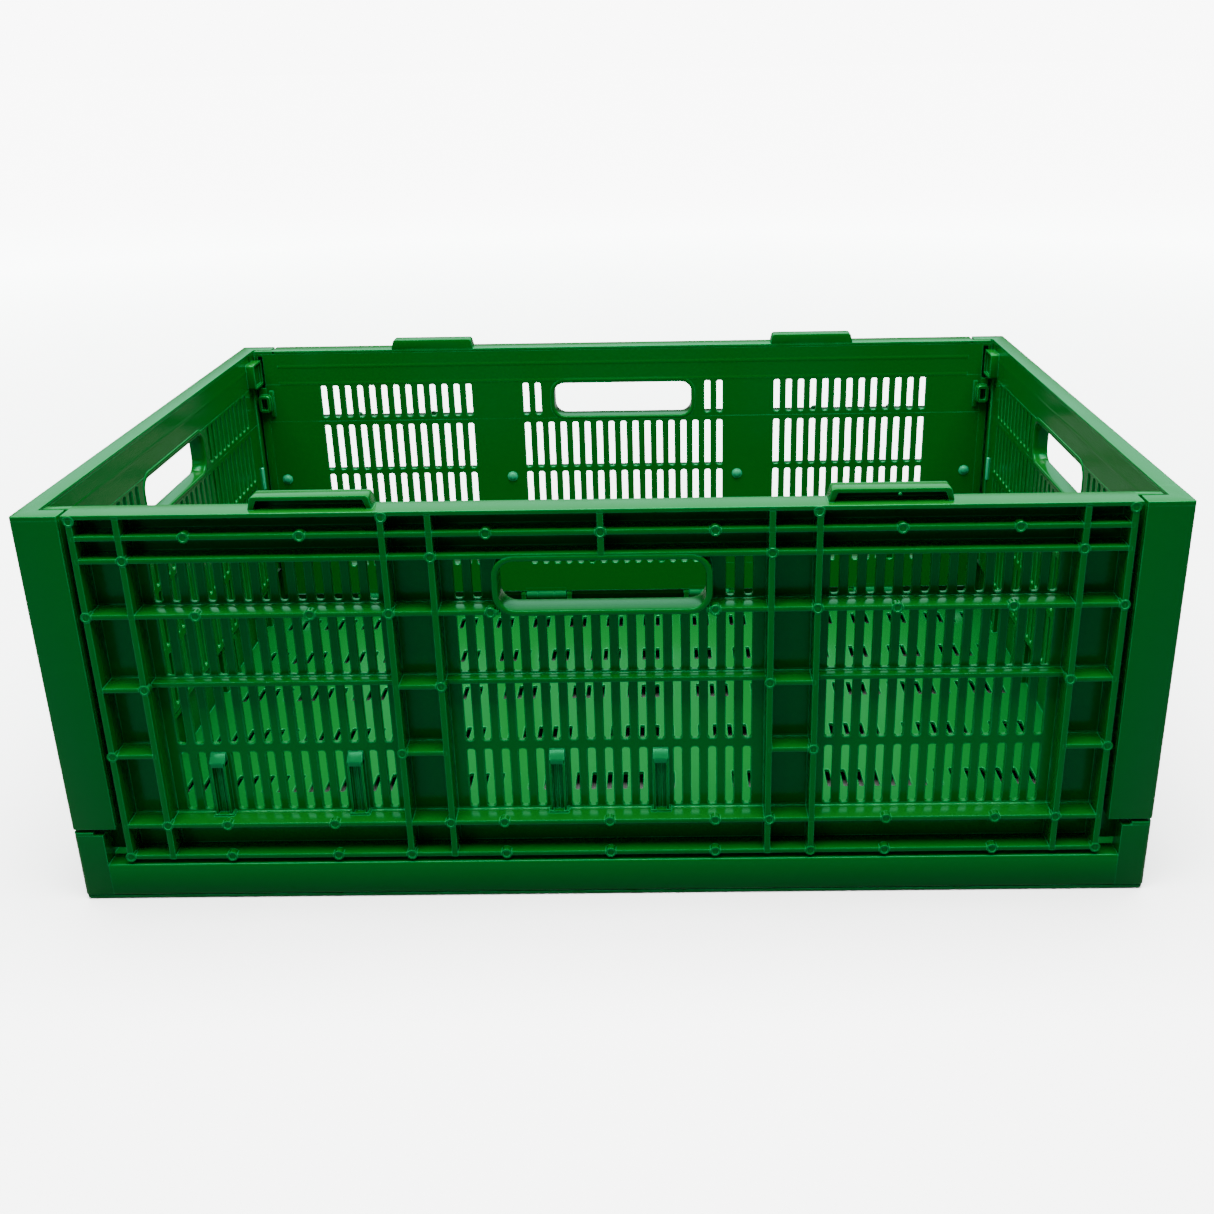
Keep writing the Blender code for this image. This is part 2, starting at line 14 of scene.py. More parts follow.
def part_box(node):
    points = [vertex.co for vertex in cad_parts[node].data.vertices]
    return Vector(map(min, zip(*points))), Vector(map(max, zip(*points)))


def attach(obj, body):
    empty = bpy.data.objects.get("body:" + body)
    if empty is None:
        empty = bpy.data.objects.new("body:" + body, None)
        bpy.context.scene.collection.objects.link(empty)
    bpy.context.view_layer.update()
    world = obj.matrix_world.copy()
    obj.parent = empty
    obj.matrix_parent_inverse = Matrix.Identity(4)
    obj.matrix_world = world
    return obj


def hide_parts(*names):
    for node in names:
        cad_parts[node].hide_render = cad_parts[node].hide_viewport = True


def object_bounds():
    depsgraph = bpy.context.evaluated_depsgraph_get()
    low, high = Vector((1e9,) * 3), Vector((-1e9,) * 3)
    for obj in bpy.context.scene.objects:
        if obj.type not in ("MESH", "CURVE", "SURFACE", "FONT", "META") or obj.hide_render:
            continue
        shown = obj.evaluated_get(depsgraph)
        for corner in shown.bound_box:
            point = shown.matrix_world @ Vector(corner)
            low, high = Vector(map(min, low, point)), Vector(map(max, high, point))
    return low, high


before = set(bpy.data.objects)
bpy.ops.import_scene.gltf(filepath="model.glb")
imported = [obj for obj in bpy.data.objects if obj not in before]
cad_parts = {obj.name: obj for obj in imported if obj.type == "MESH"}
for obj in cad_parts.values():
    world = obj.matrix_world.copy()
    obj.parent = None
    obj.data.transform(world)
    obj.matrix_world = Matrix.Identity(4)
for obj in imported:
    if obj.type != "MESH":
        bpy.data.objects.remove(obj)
cad_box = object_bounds()

# The crate's own sizes, read from the frame.
LENGTH = cad_box[1].x - cad_box[0].x
WIDTH = cad_box[1].y - cad_box[0].y
TOP_Z = cad_box[1].z
RIM_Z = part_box("left_end_wall")[1].z
UPSTAND_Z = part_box("base_tray")[1].z
END_BOTTOM_Z = UPSTAND_Z + 0.0006

# Slots: one pitch and four rows for all four walls.
PITCH = 0.00955
SLOT_WIDTH = 0.0046
SLOT_CORNER = 0.0016
SLOT_ROWS = ((0.1775, 0.2030), (0.1340, 0.1710), (0.0920, 0.1300), (0.0502, 0.0866))
ROW_EDGES = (0.2046, 0.1744, 0.1319, 0.0893, 0.0486)
SIDE_SLOTS = 13
SIDE_CENTRE = 0.1788
CENTRE_SLOTS = 17
END_SLOTS = 33
SIDE_CELLS_U = SIDE_SLOTS * PITCH / 2
CENTRE_CELLS_U = CENTRE_SLOTS * PITCH / 2
END_CELLS_U = END_SLOTS * PITCH / 2

# Ribs.
RIB_Z = {"a": 0.2186, "b": 0.2060, "c": 0.1747, "d": 0.1319, "e": 0.0915,
         "f": 0.0474, "g": 0.0272}
RIB_THICK = 0.0027
UPRIGHT_THICK = 0.0034
UPRIGHTS = (0.2703, 0.2464, 0.1117, 0.0875)
RIM_LIP = 0.0025
EDGE_ROUND = 0.00045
EDGE_REACH = 0.0009
FLUSH = 0.00008

# Long wall depths.
LONG_FACE = 0.0006
LONG_SKIN = 0.0138
LONG_INNER = 0.0165
HALF_RIB_FACE = 0.0068
LAP_FACE = 0.0117
LAP_END = LENGTH / 2 - 0.0128
LONG_SKIN_LOW = 0.0254
NOTCH_U = 0.2814
RIM_END = LENGTH / 2 - 0.0262
NOTCH_Z = (0.2018, 0.2272)

# End wall depths.
END_FACE = 0.0004
END_SKIN = 0.0078
END_INNER = 0.0105
FLANGE_U = 0.0105
FLANGE_DEPTH = 0.0245
COLUMN_U = 0.1745

# Hand holes.
HAND_HALF = 0.0540
HAND_LOW = 0.1757
HAND_HIGH = 0.2031
HAND_RADIUS = 0.0086

# Base.
FLOOR_TOP = 0.0098
RAIL_Z = 0.0228
RAIL_FOOT = 0.0029
POST_WIDTH = 0.0165


# ---------------------------------------------------------------- nodes

SOCKET_TYPES = {int: "NodeSocketInt", float: "NodeSocketFloat", tuple: "NodeSocketColor"}
WELD = 0.00001
CHAMFER = 0.0004
PLATE_THICK = 0.0027


def new_tree(name, kind, inputs, outputs):
    """A node group with its input and output nodes.

    Inputs map names to plain values or to socket types; outputs map names to socket types.
    """
    tree = bpy.data.node_groups.new(name, kind)
    for label, value in inputs.items():
        bare = isinstance(value, str)
        socket = tree.interface.new_socket(
            label, in_out="INPUT", socket_type=value if bare else SOCKET_TYPES[type(value)])
        if not bare:
            socket.default_value = value
    for label, socket_type in outputs.items():
        tree.interface.new_socket(label, in_out="OUTPUT", socket_type=socket_type)
    return tree, tree.nodes.new("NodeGroupInput"), tree.nodes.new("NodeGroupOutput")


def feed(tree, socket, value):
    """Link a source to a socket, or set the socket's plain value."""
    if isinstance(value, bpy.types.NodeSocket):
        tree.links.new(value, socket)
    else:
        socket.default_value = value


def add(tree, kind, inputs=None, **settings):
    """A node with its properties set and its inputs, named or numbered, fed."""
    node = tree.nodes.new(kind)
    for key, value in settings.items():
        setattr(node, key, value)
    for key, value in (inputs or {}).items():
        feed(tree, node.inputs[key], value)
    return node


def ramp(tree, source, low, high):
    """Source mapped from low..high to 0..1 and clamped."""
    node = add(tree, "ShaderNodeMapRange", {"Value": source, "From Min": low, "From Max": high},
               clamp=True)
    return node.outputs["Result"]


def mix_colour(tree, factor, a, b):
    return add(tree, "ShaderNodeMix", {0: factor, 6: a, 7: b}, data_type="RGBA").outputs[2]


def maths(tree, operation, a, b=0.0):
    return add(tree, "ShaderNodeMath", {0: a, 1: b}, operation=operation).outputs[0]


def minus(tree, value):
    return maths(tree, "MULTIPLY", value, -1.0)


def vector(tree, x=0.0, y=0.0, z=0.0):
    return add(tree, "ShaderNodeCombineXYZ", {0: x, 1: y, 2: z}).outputs[0]


def noise(tree, place, scale, detail):
    node = add(tree, "ShaderNodeTexNoise", {"Vector": place, "Scale": scale, "Detail": detail})
    return node.outputs["Fac"]


# ---------------------------------------------------------------- shader groups

def moulding_group():
    """Colour, roughness and height of moulded polypropylene.

    Broad clouds are pigment, long faint streaks are flow lines and the fine grain
    is the texture of the mould.
    """
    tree, given, made = new_tree(
        "moulded_plastic", "ShaderNodeTree",
        {"Colour": (0.0, 0.1, 0.02, 1.0), "Cloud": 0.05, "Streak": 0.05, "Roughness": 0.3,
         "Grain": 0.3},
        {"Colour": "NodeSocketColor", "Roughness": "NodeSocketFloat",
         "Height": "NodeSocketFloat"})
    place = add(tree, "ShaderNodeTexCoord").outputs["Object"]
    drawn_out = add(tree, "ShaderNodeMapping", {"Vector": place, "Scale": (6.0, 6.0, 60.0)})
    cloud = noise(tree, place, 9.0, 4.0)
    streak = noise(tree, drawn_out.outputs["Vector"], 2.2, 3.0)
    grain = noise(tree, place, 1900.0, 2.0)
    sink = noise(tree, place, 38.0, 2.0)
    lift, flow = [maths(tree, "MULTIPLY", maths(tree, "SUBTRACT", field, 0.5), given.outputs[name])
                  for field, name in ((cloud, "Cloud"), (streak, "Streak"))]
    gain = maths(tree, "ADD", maths(tree, "ADD", lift, flow), 1.0)
    value = add(tree, "ShaderNodeHueSaturation",
                {"Value": gain, "Color": given.outputs["Colour"]})
    worn = maths(tree, "MULTIPLY", maths(tree, "SUBTRACT", sink, 0.45), 0.10)
    fine = maths(tree, "MULTIPLY", grain, given.outputs["Grain"])
    shallow = maths(tree, "MULTIPLY", sink, 0.35)
    feed(tree, made.inputs["Colour"], value.outputs["Color"])
    feed(tree, made.inputs["Roughness"], maths(tree, "ADD", given.outputs["Roughness"], worn))
    feed(tree, made.inputs["Height"], maths(tree, "ADD", fine, shallow))
    return tree


def edge_highlight_group():
    """A painted highlight mask, 1 along edges and broken up by noise, where paler paint stands in
    for the light the edges catch.
    """
    tree, given, made = new_tree(
        "painted_edge_highlight", "ShaderNodeTree", {"Low": 0.01, "High": 0.16, "Scale": 60.0},
        {"Mask": "NodeSocketFloat"})
    place = add(tree, "ShaderNodeTexCoord").outputs["Object"]
    bent = add(tree, "ShaderNodeBevel", {"Radius": EDGE_REACH}, samples=4).outputs[0]
    true = add(tree, "ShaderNodeNewGeometry").outputs["Normal"]
    agree = add(tree, "ShaderNodeVectorMath", {0: bent, 1: true}, operation="DOT_PRODUCT")
    sharp = maths(tree, "SUBTRACT", 1.0, agree.outputs["Value"])
    span = ramp(tree, sharp, given.outputs["Low"], given.outputs["High"])
    broken = ramp(tree, noise(tree, place, given.outputs["Scale"], 4.0), 0.18, 0.55)
    feed(tree, made.inputs["Mask"], maths(tree, "MULTIPLY", span, broken))
    return tree


def plastic(name, colour, highlight_colour, roughness, edge_highlight):
    """A moulded green with a painted highlight along its edges in a paler green, and small marks
    painted towards mint as painted light.
    """
    material = bpy.data.materials.new(name)
    material.use_nodes = True
    tree = material.node_tree
    skin = add(tree, "ShaderNodeGroup", {"Colour": colour, "Roughness": roughness, "Grain": 0.1},
               node_tree=GROUPS["moulding"])
    edge = add(tree, "ShaderNodeGroup", node_tree=GROUPS["edges"])
    painted_light_node = add(tree, "ShaderNodeAttribute", attribute_type="GEOMETRY", attribute_name="painted_light")
    # Painted highlight: edges are mixed towards the paler green by the edge mask.
    amount = maths(tree, "MULTIPLY", edge.outputs["Mask"], edge_highlight)
    shade = mix_colour(tree, amount, skin.outputs["Colour"], highlight_colour)
    # Painted light: faces marked in the face attribute are mixed towards a bright mint.
    shade = mix_colour(tree, painted_light_node.outputs["Fac"], shade, PAINTED_LIGHT_MINT)
    bump = add(tree, "ShaderNodeBump",
               {"Strength": 0.12, "Distance": 0.0004, "Height": skin.outputs["Height"]})
    shader = tree.nodes["Principled BSDF"].inputs
    feed(tree, shader["Base Color"], shade)
    feed(tree, shader["Roughness"], skin.outputs["Roughness"])
    feed(tree, shader["Normal"], bump.outputs["Normal"])
    shader["Specular IOR Level"].default_value = 0.28
    shader["Specular Tint"].default_value = SHEEN
    return material


# ---------------------------------------------------------------- geometry trees

def geometry_tree(name, inputs, takes_mesh=False):
    """A geometry tree with named inputs, as (tree, input node, output node)."""
    mesh = {"Geometry": "NodeSocketGeometry"}
    inputs = {**(mesh if takes_mesh else {}), **inputs, "Material": "NodeSocketMaterial"}
    return new_tree(name, "GeometryNodeTree", inputs, mesh)


def join(tree, *sockets):
    node = add(tree, "GeometryNodeJoinGeometry")
    for socket in sockets:
        tree.links.new(socket, node.inputs[0])
    return node.outputs[0]


def end_tree(tree, given, made, geometry):
    """Realise the copies, weld them and finish with the material."""
    real = add(tree, "GeometryNodeRealizeInstances", {0: geometry})
    weld = add(tree, "GeometryNodeMergeByDistance", {0: real.outputs[0], "Distance": WELD})
    paint = add(tree, "GeometryNodeSetMaterial",
                {0: weld.outputs[0], "Material": given.outputs["Material"]})
    feed(tree, made.inputs[0], paint.outputs[0])


def rounded_curve(tree, width, height, radius, count=5):
    """A rectangle with round corners; a slot's ends are its corners at full radius."""
    shape = add(tree, "GeometryNodeCurvePrimitiveQuadrilateral",
                {"Width": width, "Height": height})
    fillet = add(tree, "GeometryNodeFilletCurve",
                 {0: shape.outputs[0], "Count": count, "Radius": radius, "Limit Radius": True},
                 mode="POLY")
    return fillet.outputs[0]


def moved(tree, geometry, offset):
    node = add(tree, "GeometryNodeTransform", {"Geometry": geometry, "Translation": offset})
    return node.outputs[0]


def filled(tree, curves):
    return add(tree, "GeometryNodeFillCurve", {0: curves}).outputs[0]


def on_points(tree, points, instance):
    node = add(tree, "GeometryNodeInstanceOnPoints", {"Points": points, "Instance": instance})
    return node.outputs[0]


def perforated_row_tree():
    """A row of equal cells in the XY plane, each with a round-ended hole through -Z.

    The hole's wall is swept round the hole with a small chamfer at both faces. The
    faces are filled between the cell's edge and the chamfer's edge.
    """
    tree, given, made = geometry_tree(
        "perforated_row",
        {"Columns": SIDE_SLOTS, "Pitch": PITCH, "Height": 0.04, "Hole Width": SLOT_WIDTH,
         "Hole Height": 0.03, "Hole Offset": 0.0, "Hole Radius": SLOT_WIDTH / 2,
         "Thickness": PLATE_THICK, "Chamfer": CHAMFER})
    pick = given.outputs
    pitch, chamfer = pick["Pitch"], pick["Chamfer"]

    twice = maths(tree, "MULTIPLY", chamfer, 2.0)
    centre = vector(tree, y=pick["Hole Offset"])
    mouth = moved(tree, rounded_curve(tree, maths(tree, "ADD", pick["Hole Width"], twice),
                                      maths(tree, "ADD", pick["Hole Height"], twice),
                                      maths(tree, "ADD", pick["Hole Radius"], chamfer)), centre)
    throat = moved(tree, rounded_curve(tree, pick["Hole Width"], pick["Hole Height"],
                                       pick["Hole Radius"]), centre)

    deep, high = minus(tree, pick["Thickness"]), minus(tree, chamfer)
    low = maths(tree, "ADD", deep, chamfer)
    cell = add(tree, "GeometryNodeCurvePrimitiveQuadrilateral",
               {"Width": pitch, "Height": pick["Height"]})
    face = filled(tree, join(tree, cell.outputs[0], mouth))
    back = add(tree, "GeometryNodeFlipFaces", {0: moved(tree, face, vector(tree, z=deep))})
    walls = [band(tree, *strip) for strip in (
        (mouth, throat, 0.0, high), (throat, throat, high, low), (throat, mouth, low, deep))]

    line = add(tree, "GeometryNodeMeshLine",
               {"Count": pick["Columns"], "Offset": vector(tree, x=pitch)})
    row = on_points(tree, line.outputs[0], join(tree, face, back.outputs[0], *walls))
    back_half = maths(tree, "MULTIPLY", maths(tree, "SUBTRACT", pick["Columns"], 1.0), -0.5)
    start = vector(tree, x=maths(tree, "MULTIPLY", back_half, pitch))
    end_tree(tree, given, made, moved(tree, row, start))
    return tree


def band(tree, outer, inner, z_outer, z_inner):
    """The strip between two like curves at two heights: a two-row grid laid on their points."""
    count = add(tree, "GeometryNodeAttributeDomainSize", {0: outer}, component="CURVE")
    points = count.outputs["Point Count"]
    grid = add(tree, "GeometryNodeMeshGrid",
               {"Vertices X": maths(tree, "ADD", points, 1.0), "Vertices Y": 2})
    index = add(tree, "GeometryNodeInputIndex").outputs[0]
    position = add(tree, "GeometryNodeInputPosition").outputs[0]
    along = maths(tree, "FLOOR", maths(tree, "DIVIDE", index, 2.0))
    around = maths(tree, "MODULO", along, points)
    places = []
    for curve, z in ((outer, z_outer), (inner, z_inner)):
        sample = add(tree, "GeometryNodeSampleIndex",
                     {"Geometry": curve, "Value": position, "Index": around},
                     data_type="FLOAT_VECTOR", domain="POINT")
        shift = add(tree, "ShaderNodeVectorMath", {0: sample.outputs[0], 1: vector(tree, z=z)})
        places.append(shift.outputs[0])
    choose = add(tree, "ShaderNodeMix",
                 {0: maths(tree, "MODULO", index, 2.0), 4: places[0], 5: places[1]},
                 data_type="VECTOR")
    put = add(tree, "GeometryNodeSetPosition",
              {0: grid.outputs[0], "Position": choose.outputs[1]})
    return put.outputs[0]


def rib_tree():
    """A bar with round edges along every edge of a wire net in the XY plane, going to -Z."""
    tree, given, made = geometry_tree(
        "rib_net", {"Thickness": RIB_THICK, "Depth": 0.013, "Edge Round": EDGE_ROUND}, True)
    pick = given.outputs
    wires = add(tree, "GeometryNodeMeshToCurve", {0: pick["Geometry"]})
    level = add(tree, "GeometryNodeSetCurveNormal", {0: wires.outputs[0]}, mode="Z_UP")
    profile = rounded_curve(tree, pick["Thickness"], pick["Depth"], pick["Edge Round"], 2)
    sweep = add(tree, "GeometryNodeCurveToMesh",
                {"Curve": level.outputs[0], "Profile Curve": profile, "Fill Caps": True})
    sunk = vector(tree, z=maths(tree, "MULTIPLY", pick["Depth"], -0.5))
    end_tree(tree, given, made, moved(tree, sweep.outputs[0], sunk))
    return tree


def pad_tree():
    """A round ejector pad with a sunk middle on every point of a mesh, going to -Z."""
    tree, given, made = geometry_tree(
        "ejector_pads", {"Radius": 0.003, "Depth": 0.004, "Chamfer": 0.0003, "Rim": 0.0009}, True)
    pick = given.outputs
    inner = maths(tree, "SUBTRACT", pick["Radius"], pick["Rim"])
    side, crest, brink, middle = [
        add(tree, "GeometryNodeCurvePrimitiveCircle",
            {"Resolution": 20, "Radius": radius}).outputs[0]
        for radius in (pick["Radius"], maths(tree, "SUBTRACT", pick["Radius"], pick["Chamfer"]),
                       inner, maths(tree, "SUBTRACT", inner, pick["Chamfer"]))]
    low, step = minus(tree, pick["Depth"]), minus(tree, pick["Chamfer"])
    faces = [band(tree, *strip) for strip in (
        (side, side, low, step), (side, crest, step, 0.0), (crest, brink, 0.0, 0.0),
        (brink, middle, 0.0, step))]
    faces += [moved(tree, filled(tree, curve), vector(tree, z=z))
              for curve, z in ((middle, step), (side, low))]
    end_tree(tree, given, made, on_points(tree, pick["Geometry"], join(tree, *faces)))
    return tree


# ---------------------------------------------------------------- moulding builder

def grown(tree_name, values, source=None):
    """Plain mesh data from a geometry tree run on source with the named values."""
    tree = TREES[tree_name]
    carrier = bpy.data.objects.new("grown", source or bpy.data.meshes.new("grown"))
    bpy.context.scene.collection.objects.link(carrier)
    modifier = carrier.modifiers.new("grow", "NODES")
    modifier.node_group = tree
    for item in tree.interface.items_tree:
        if item.in_out == "INPUT" and item.name in values:
            modifier[item.identifier] = values[item.name]
    evaluated = carrier.evaluated_get(bpy.context.evaluated_depsgraph_get())
    mesh = bpy.data.meshes.new_from_object(evaluated)
    bpy.data.objects.remove(carrier, do_unlink=True)
    return mesh


def cell_row(centre, z, holes, columns, pitch=PITCH, width=SLOT_WIDTH, radius=SLOT_CORNER,
             thickness=PLATE_THICK, chamfer=CHAMFER):
    """A flat row of cells with holes; z and holes are (low, high) pairs."""
    middle = (z[0] + z[1]) / 2
    data = grown("row", {"Columns": columns, "Pitch": pitch, "Height": z[1] - z[0],
                         "Hole Width": width, "Hole Height": holes[1] - holes[0],
                         "Hole Offset": (holes[0] + holes[1]) / 2 - middle, "Hole Radius": radius,
                         "Thickness": thickness, "Chamfer": chamfer})
    data.transform(Matrix.Translation((centre, middle, 0)))
    return data


def on_wall(depth):
    """The matrix that stands flat data up with its face at a depth."""
    return Matrix.Translation((0, depth, 0)) @ Matrix.Rotation(math.pi / 2, 4, "X")


def skinned(rings, around=False):
    """Faces between like rings of points: capped, or with the last ring joined to the first."""
    part = bmesh.new()
    rows = [[part.verts.new(point) for point in ring] for ring in rings]
    for low, high in zip(rows, rows[1:] + rows[:1] if around else rows[1:]):
        for corners in zip(low, low[1:] + low[:1], high[1:] + high[:1], high):
            part.faces.new(corners)
    if not around:
        part.faces.new(rows[0])
        part.faces.new(rows[-1])
    bmesh.ops.recalc_face_normals(part, faces=part.faces)
    return part


class Moulding:
    """Solids gathered in a wall's own frame: U along, D inwards, Z up."""

    def __init__(self):
        self.mesh = bmesh.new()
        # Face ranges to be painted towards mint, as painted light.
        self.painted_light_marks = []

    def painted_light(self, since, amount):
        """Paint the faces added since a face count towards mint by amount, as painted light."""
        self.painted_light_marks.append((since, len(self.mesh.faces), amount))

    def keep(self, part):
        """Add a bmesh, and free it."""
        data = bpy.data.meshes.new("part")
        part.to_mesh(data)
        part.free()
        self.mesh.from_mesh(data)
        bpy.data.meshes.remove(data)

    def take(self, data, depth, outward=False):
        """Stand flat data up with its face at a depth, add it and drop the data."""
        part = bmesh.new()
        part.from_mesh(data)
        bpy.data.meshes.remove(data)
        if outward:
            bmesh.ops.recalc_face_normals(part, faces=part.faces)
        bmesh.ops.transform(part, matrix=on_wall(depth), verts=part.verts)
        self.keep(part)

    def solid(self, rings, edge=EDGE_ROUND, segments=2, plain=()):
        """A closed solid through like rings of points, with its sharper edges rounded.

        Edges that lie in a plane of plain, (axis, value) pairs, stay square for a neighbour.
        """
        part = skinned(rings)
        if edge:
            chosen = [e for e in part.edges if e.calc_face_angle(0) > 0.6 and not any(
                all(abs(v.co[axis] - value) < 1e-6 for v in e.verts) for axis, value in plain)]
            bmesh.ops.bevel(part, geom=chosen, offset=edge, segments=segments, profile=0.6,
                            affect="EDGES", clamp_overlap=True)
        self.keep(part)

    def box(self, u, d, z, edge=EDGE_ROUND, segments=2, plain=()):
        """A box from (low, high) pairs along U, D and Z."""
        (u0, u1), (d0, d1), (z0, z1) = sorted(u), sorted(d), sorted(z)
        rings = [[(u0, d0, h), (u1, d0, h), (u1, d1, h), (u0, d1, h)] for h in (z0, z1)]
        self.solid(rings, edge, segments, plain)

    def bar(self, section, u, edge=0, segments=2, plain=()):
        """A section of (d, z) points swept between two places along U."""
        self.solid([[(place, d, z) for d, z in section] for place in u], edge, segments, plain)

    def slab(self, outline, d, edge=EDGE_ROUND, segments=2):
        """An outline of (u, z) points swept between two depths."""
        self.solid([[(u, depth, z) for u, z in outline] for depth in d], edge, segments)

    def plan(self, outline, z, edge=EDGE_ROUND, segments=2, plain=()):
        """An outline of (u, d) points swept between two heights."""
        self.solid([[(u, d, h) for u, d in outline] for h in z], edge, segments, plain)

    def lathe(self, centre, axis, profile, sides=24):
        """A turned solid: profile is (distance along axis, radius) pairs, ends closed."""
        along, across = Vector((1, 0, 0)), Vector((0, 1, 0))
        if axis == "D":
            along, across = across, along
        rings = []
        for distance, radius in profile:
            ring = []
            for i in range(sides):
                angle = 2 * math.pi * i / sides
                out = across * math.cos(angle) + Vector((0, 0, 1)) * math.sin(angle)
                ring.append(Vector(centre) + along * distance + out * radius)
            rings.append(ring)
        self.solid(rings, edge=0)

    def hoop(self, rectangle, steps, sides=7):
        """A ring-shaped solid round a rounded rectangle, through (grow, depth) steps."""
        self.keep(skinned([[(u, depth, z) for u, z in rounded(*rectangle, sides, grow)]
                           for grow, depth in steps], around=True))

    def plate(self, rows, bands, matrix, thickness=PLATE_THICK):
        """One closed plate from flat rows of cells and plain bands that share their edges.

        A band is a pair of (low, high) pairs; the plate goes from its face towards -Z.
        """
        part = bmesh.new()
        for data in rows:
            part.from_mesh(data)
            bpy.data.meshes.remove(data)
        for across, up in bands:
            (a0, a1), (b0, b1) = sorted(across), sorted(up)
            for depth in (0.0, -thickness):
                corners = ((a0, b0, depth), (a1, b0, depth), (a1, b1, depth), (a0, b1, depth))
                part.faces.new([part.verts.new(corner) for corner in corners])
        bmesh.ops.remove_doubles(part, verts=part.verts, dist=WELD)
        bmesh.ops.bridge_loops(part, edges=[edge for edge in part.edges if edge.is_boundary])
        bmesh.ops.recalc_face_normals(part, faces=part.faces)
        bmesh.ops.transform(part, matrix=matrix, verts=part.verts)
        self.keep(part)

    def ribs(self, lines, face, depth, thickness=RIB_THICK):
        """Bars along lines of ((u, z), (u, z)), their outer faces at depth face."""
        wires = bpy.data.meshes.new("wires")
        points = [(u, z, 0.0) for line in lines for u, z in line]
        wires.from_pydata(points, [(i, i + 1) for i in range(0, len(points), 2)], [])
        self.take(grown("ribs", {"Thickness": thickness, "Depth": depth}, wires), face)

    def pads(self, places, face, radius=0.0030, depth=0.004):
        """Ejector pads at (u, z) places, standing at depth face."""
        dots = bpy.data.meshes.new("dots")
        dots.from_pydata([(u, z, 0.0) for u, z in places], [], [])
        self.take(grown("pads", {"Radius": radius, "Depth": depth}, dots), face, outward=True)

    def mesh_data(self, name, material, smooth_angle=0.55):
        """The gathered solids as one mesh with its flat and round faces shaded as such."""
        data = bpy.data.meshes.new(name)
        self.mesh.to_mesh(data)
        self.mesh.free()
        # Painted light: a face attribute that lightens the marked faces towards mint.
        painted_light_layer = data.attributes.new("painted_light", "FLOAT", "FACE")
        for start, stop, amount in self.painted_light_marks:
            for face in range(start, stop):
                painted_light_layer.data[face].value = amount
        data.materials.clear()
        data.materials.append(material)
        data.shade_smooth()
        data.set_sharp_from_angle(angle=smooth_angle)
        return data


def rounded(u0, u1, z0, z1, radius, sides=7, grow=0.0):
    """A rounded rectangle's outline of (u, z) points, grown outwards evenly."""
    points = []
    for a, b, quarter in ((u1, z1, 0), (u0, z1, 1), (u0, z0, 2), (u1, z0, 3)):
        centre_a = a - math.copysign(radius, a - (u0 + u1) / 2)
        centre_b = b - math.copysign(radius, b - (z0 + z1) / 2)
        for i in range(sides + 1):
            turn = (quarter + i / sides) * math.pi / 2
            points.append((centre_a + (radius + grow) * math.cos(turn),
                           centre_b + (radius + grow) * math.sin(turn)))
    return points


def arc(centre, radius, start, stop, count=5):
    """Points on an arc, angles in quarter turns."""
    step = (stop - start) / count
    return [(centre[0] + radius * math.cos((start + step * i) * math.pi / 2),
             centre[1] + radius * math.sin((start + step * i) * math.pi / 2))
            for i in range(count + 1)]


def collar(part, hole, face, back, wall, lip=0.0009):
    """A hand hole's collar: a round-edged wall of even thickness through the panel."""
    profile = []
    for centre, start in (((wall - lip, face + lip), -1), ((wall - lip, back - lip), 0),
                          ((lip, back - lip), 1), ((lip, face + lip), 2)):
        profile += arc(centre, lip, start, start + 1, 3)
    part.hoop(hole, profile)


# ---------------------------------------------------------------- long wall

CLIPS_U = (-0.2169, -0.1405, -0.02865, 0.02865)
TAB_U = 0.1478
HINGES_U = (-0.2050, -0.0680, 0.0680, 0.2050)
KNUCKLE_HALF = 0.0165
LONG_AXIS = (0.0125, 0.0220)
HAND_HOLE = (-HAND_HALF, HAND_HALF, HAND_LOW, HAND_HIGH, HAND_RADIUS)
PAD_ROWS = {"rim": (0.2700, 0.1110), "a": (0.2130, 0.1535, 0.0585, 0.0),
            "b": (0.2464, 0.0877), "c": (0.2703, 0.2130, 0.1530, 0.1117, 0.0585),
            "d": (0.2464, 0.0875), "e": (0.2703, 0.1117),
            "f": (0.2464, 0.2130, 0.1530, 0.0885, 0.0585, 0.0),
            "g": (0.2703, 0.2130, 0.1530, 0.1117, 0.0585, 0.0)}
INNER_BAY, OPEN_BAY, OUTER_BAY = zip(UPRIGHTS[:0:-1], UPRIGHTS[-2::-1])
FILLETS = {"c": ((HAND_HALF + 0.003, UPRIGHTS[3]), INNER_BAY, OPEN_BAY, OUTER_BAY),
           "d": ((0.0, UPRIGHTS[3]), INNER_BAY, OPEN_BAY, OUTER_BAY),
           "e": (INNER_BAY, OUTER_BAY),
           "f": ((0.0, UPRIGHTS[3]), INNER_BAY, OPEN_BAY, OUTER_BAY)}


def long_wall():
    part = Moulding()
    long_skin(part)
    long_ribs(part)
    collar(part, HAND_HOLE, LONG_FACE - FLUSH, LONG_INNER + 0.0002, 0.0032, 0.0010)
    for side in (-1, 1):
        stacking_tab(part, side * TAB_U)
        snap_lug(part, side)
        lap_strip(part, side)
    for u in CLIPS_U:
        card_clip(part, u)
    for u in HINGES_U:
        knuckle(part, u)
    gate_marks(part)
    return part.mesh_data("long_wall", FINISH["wall"])


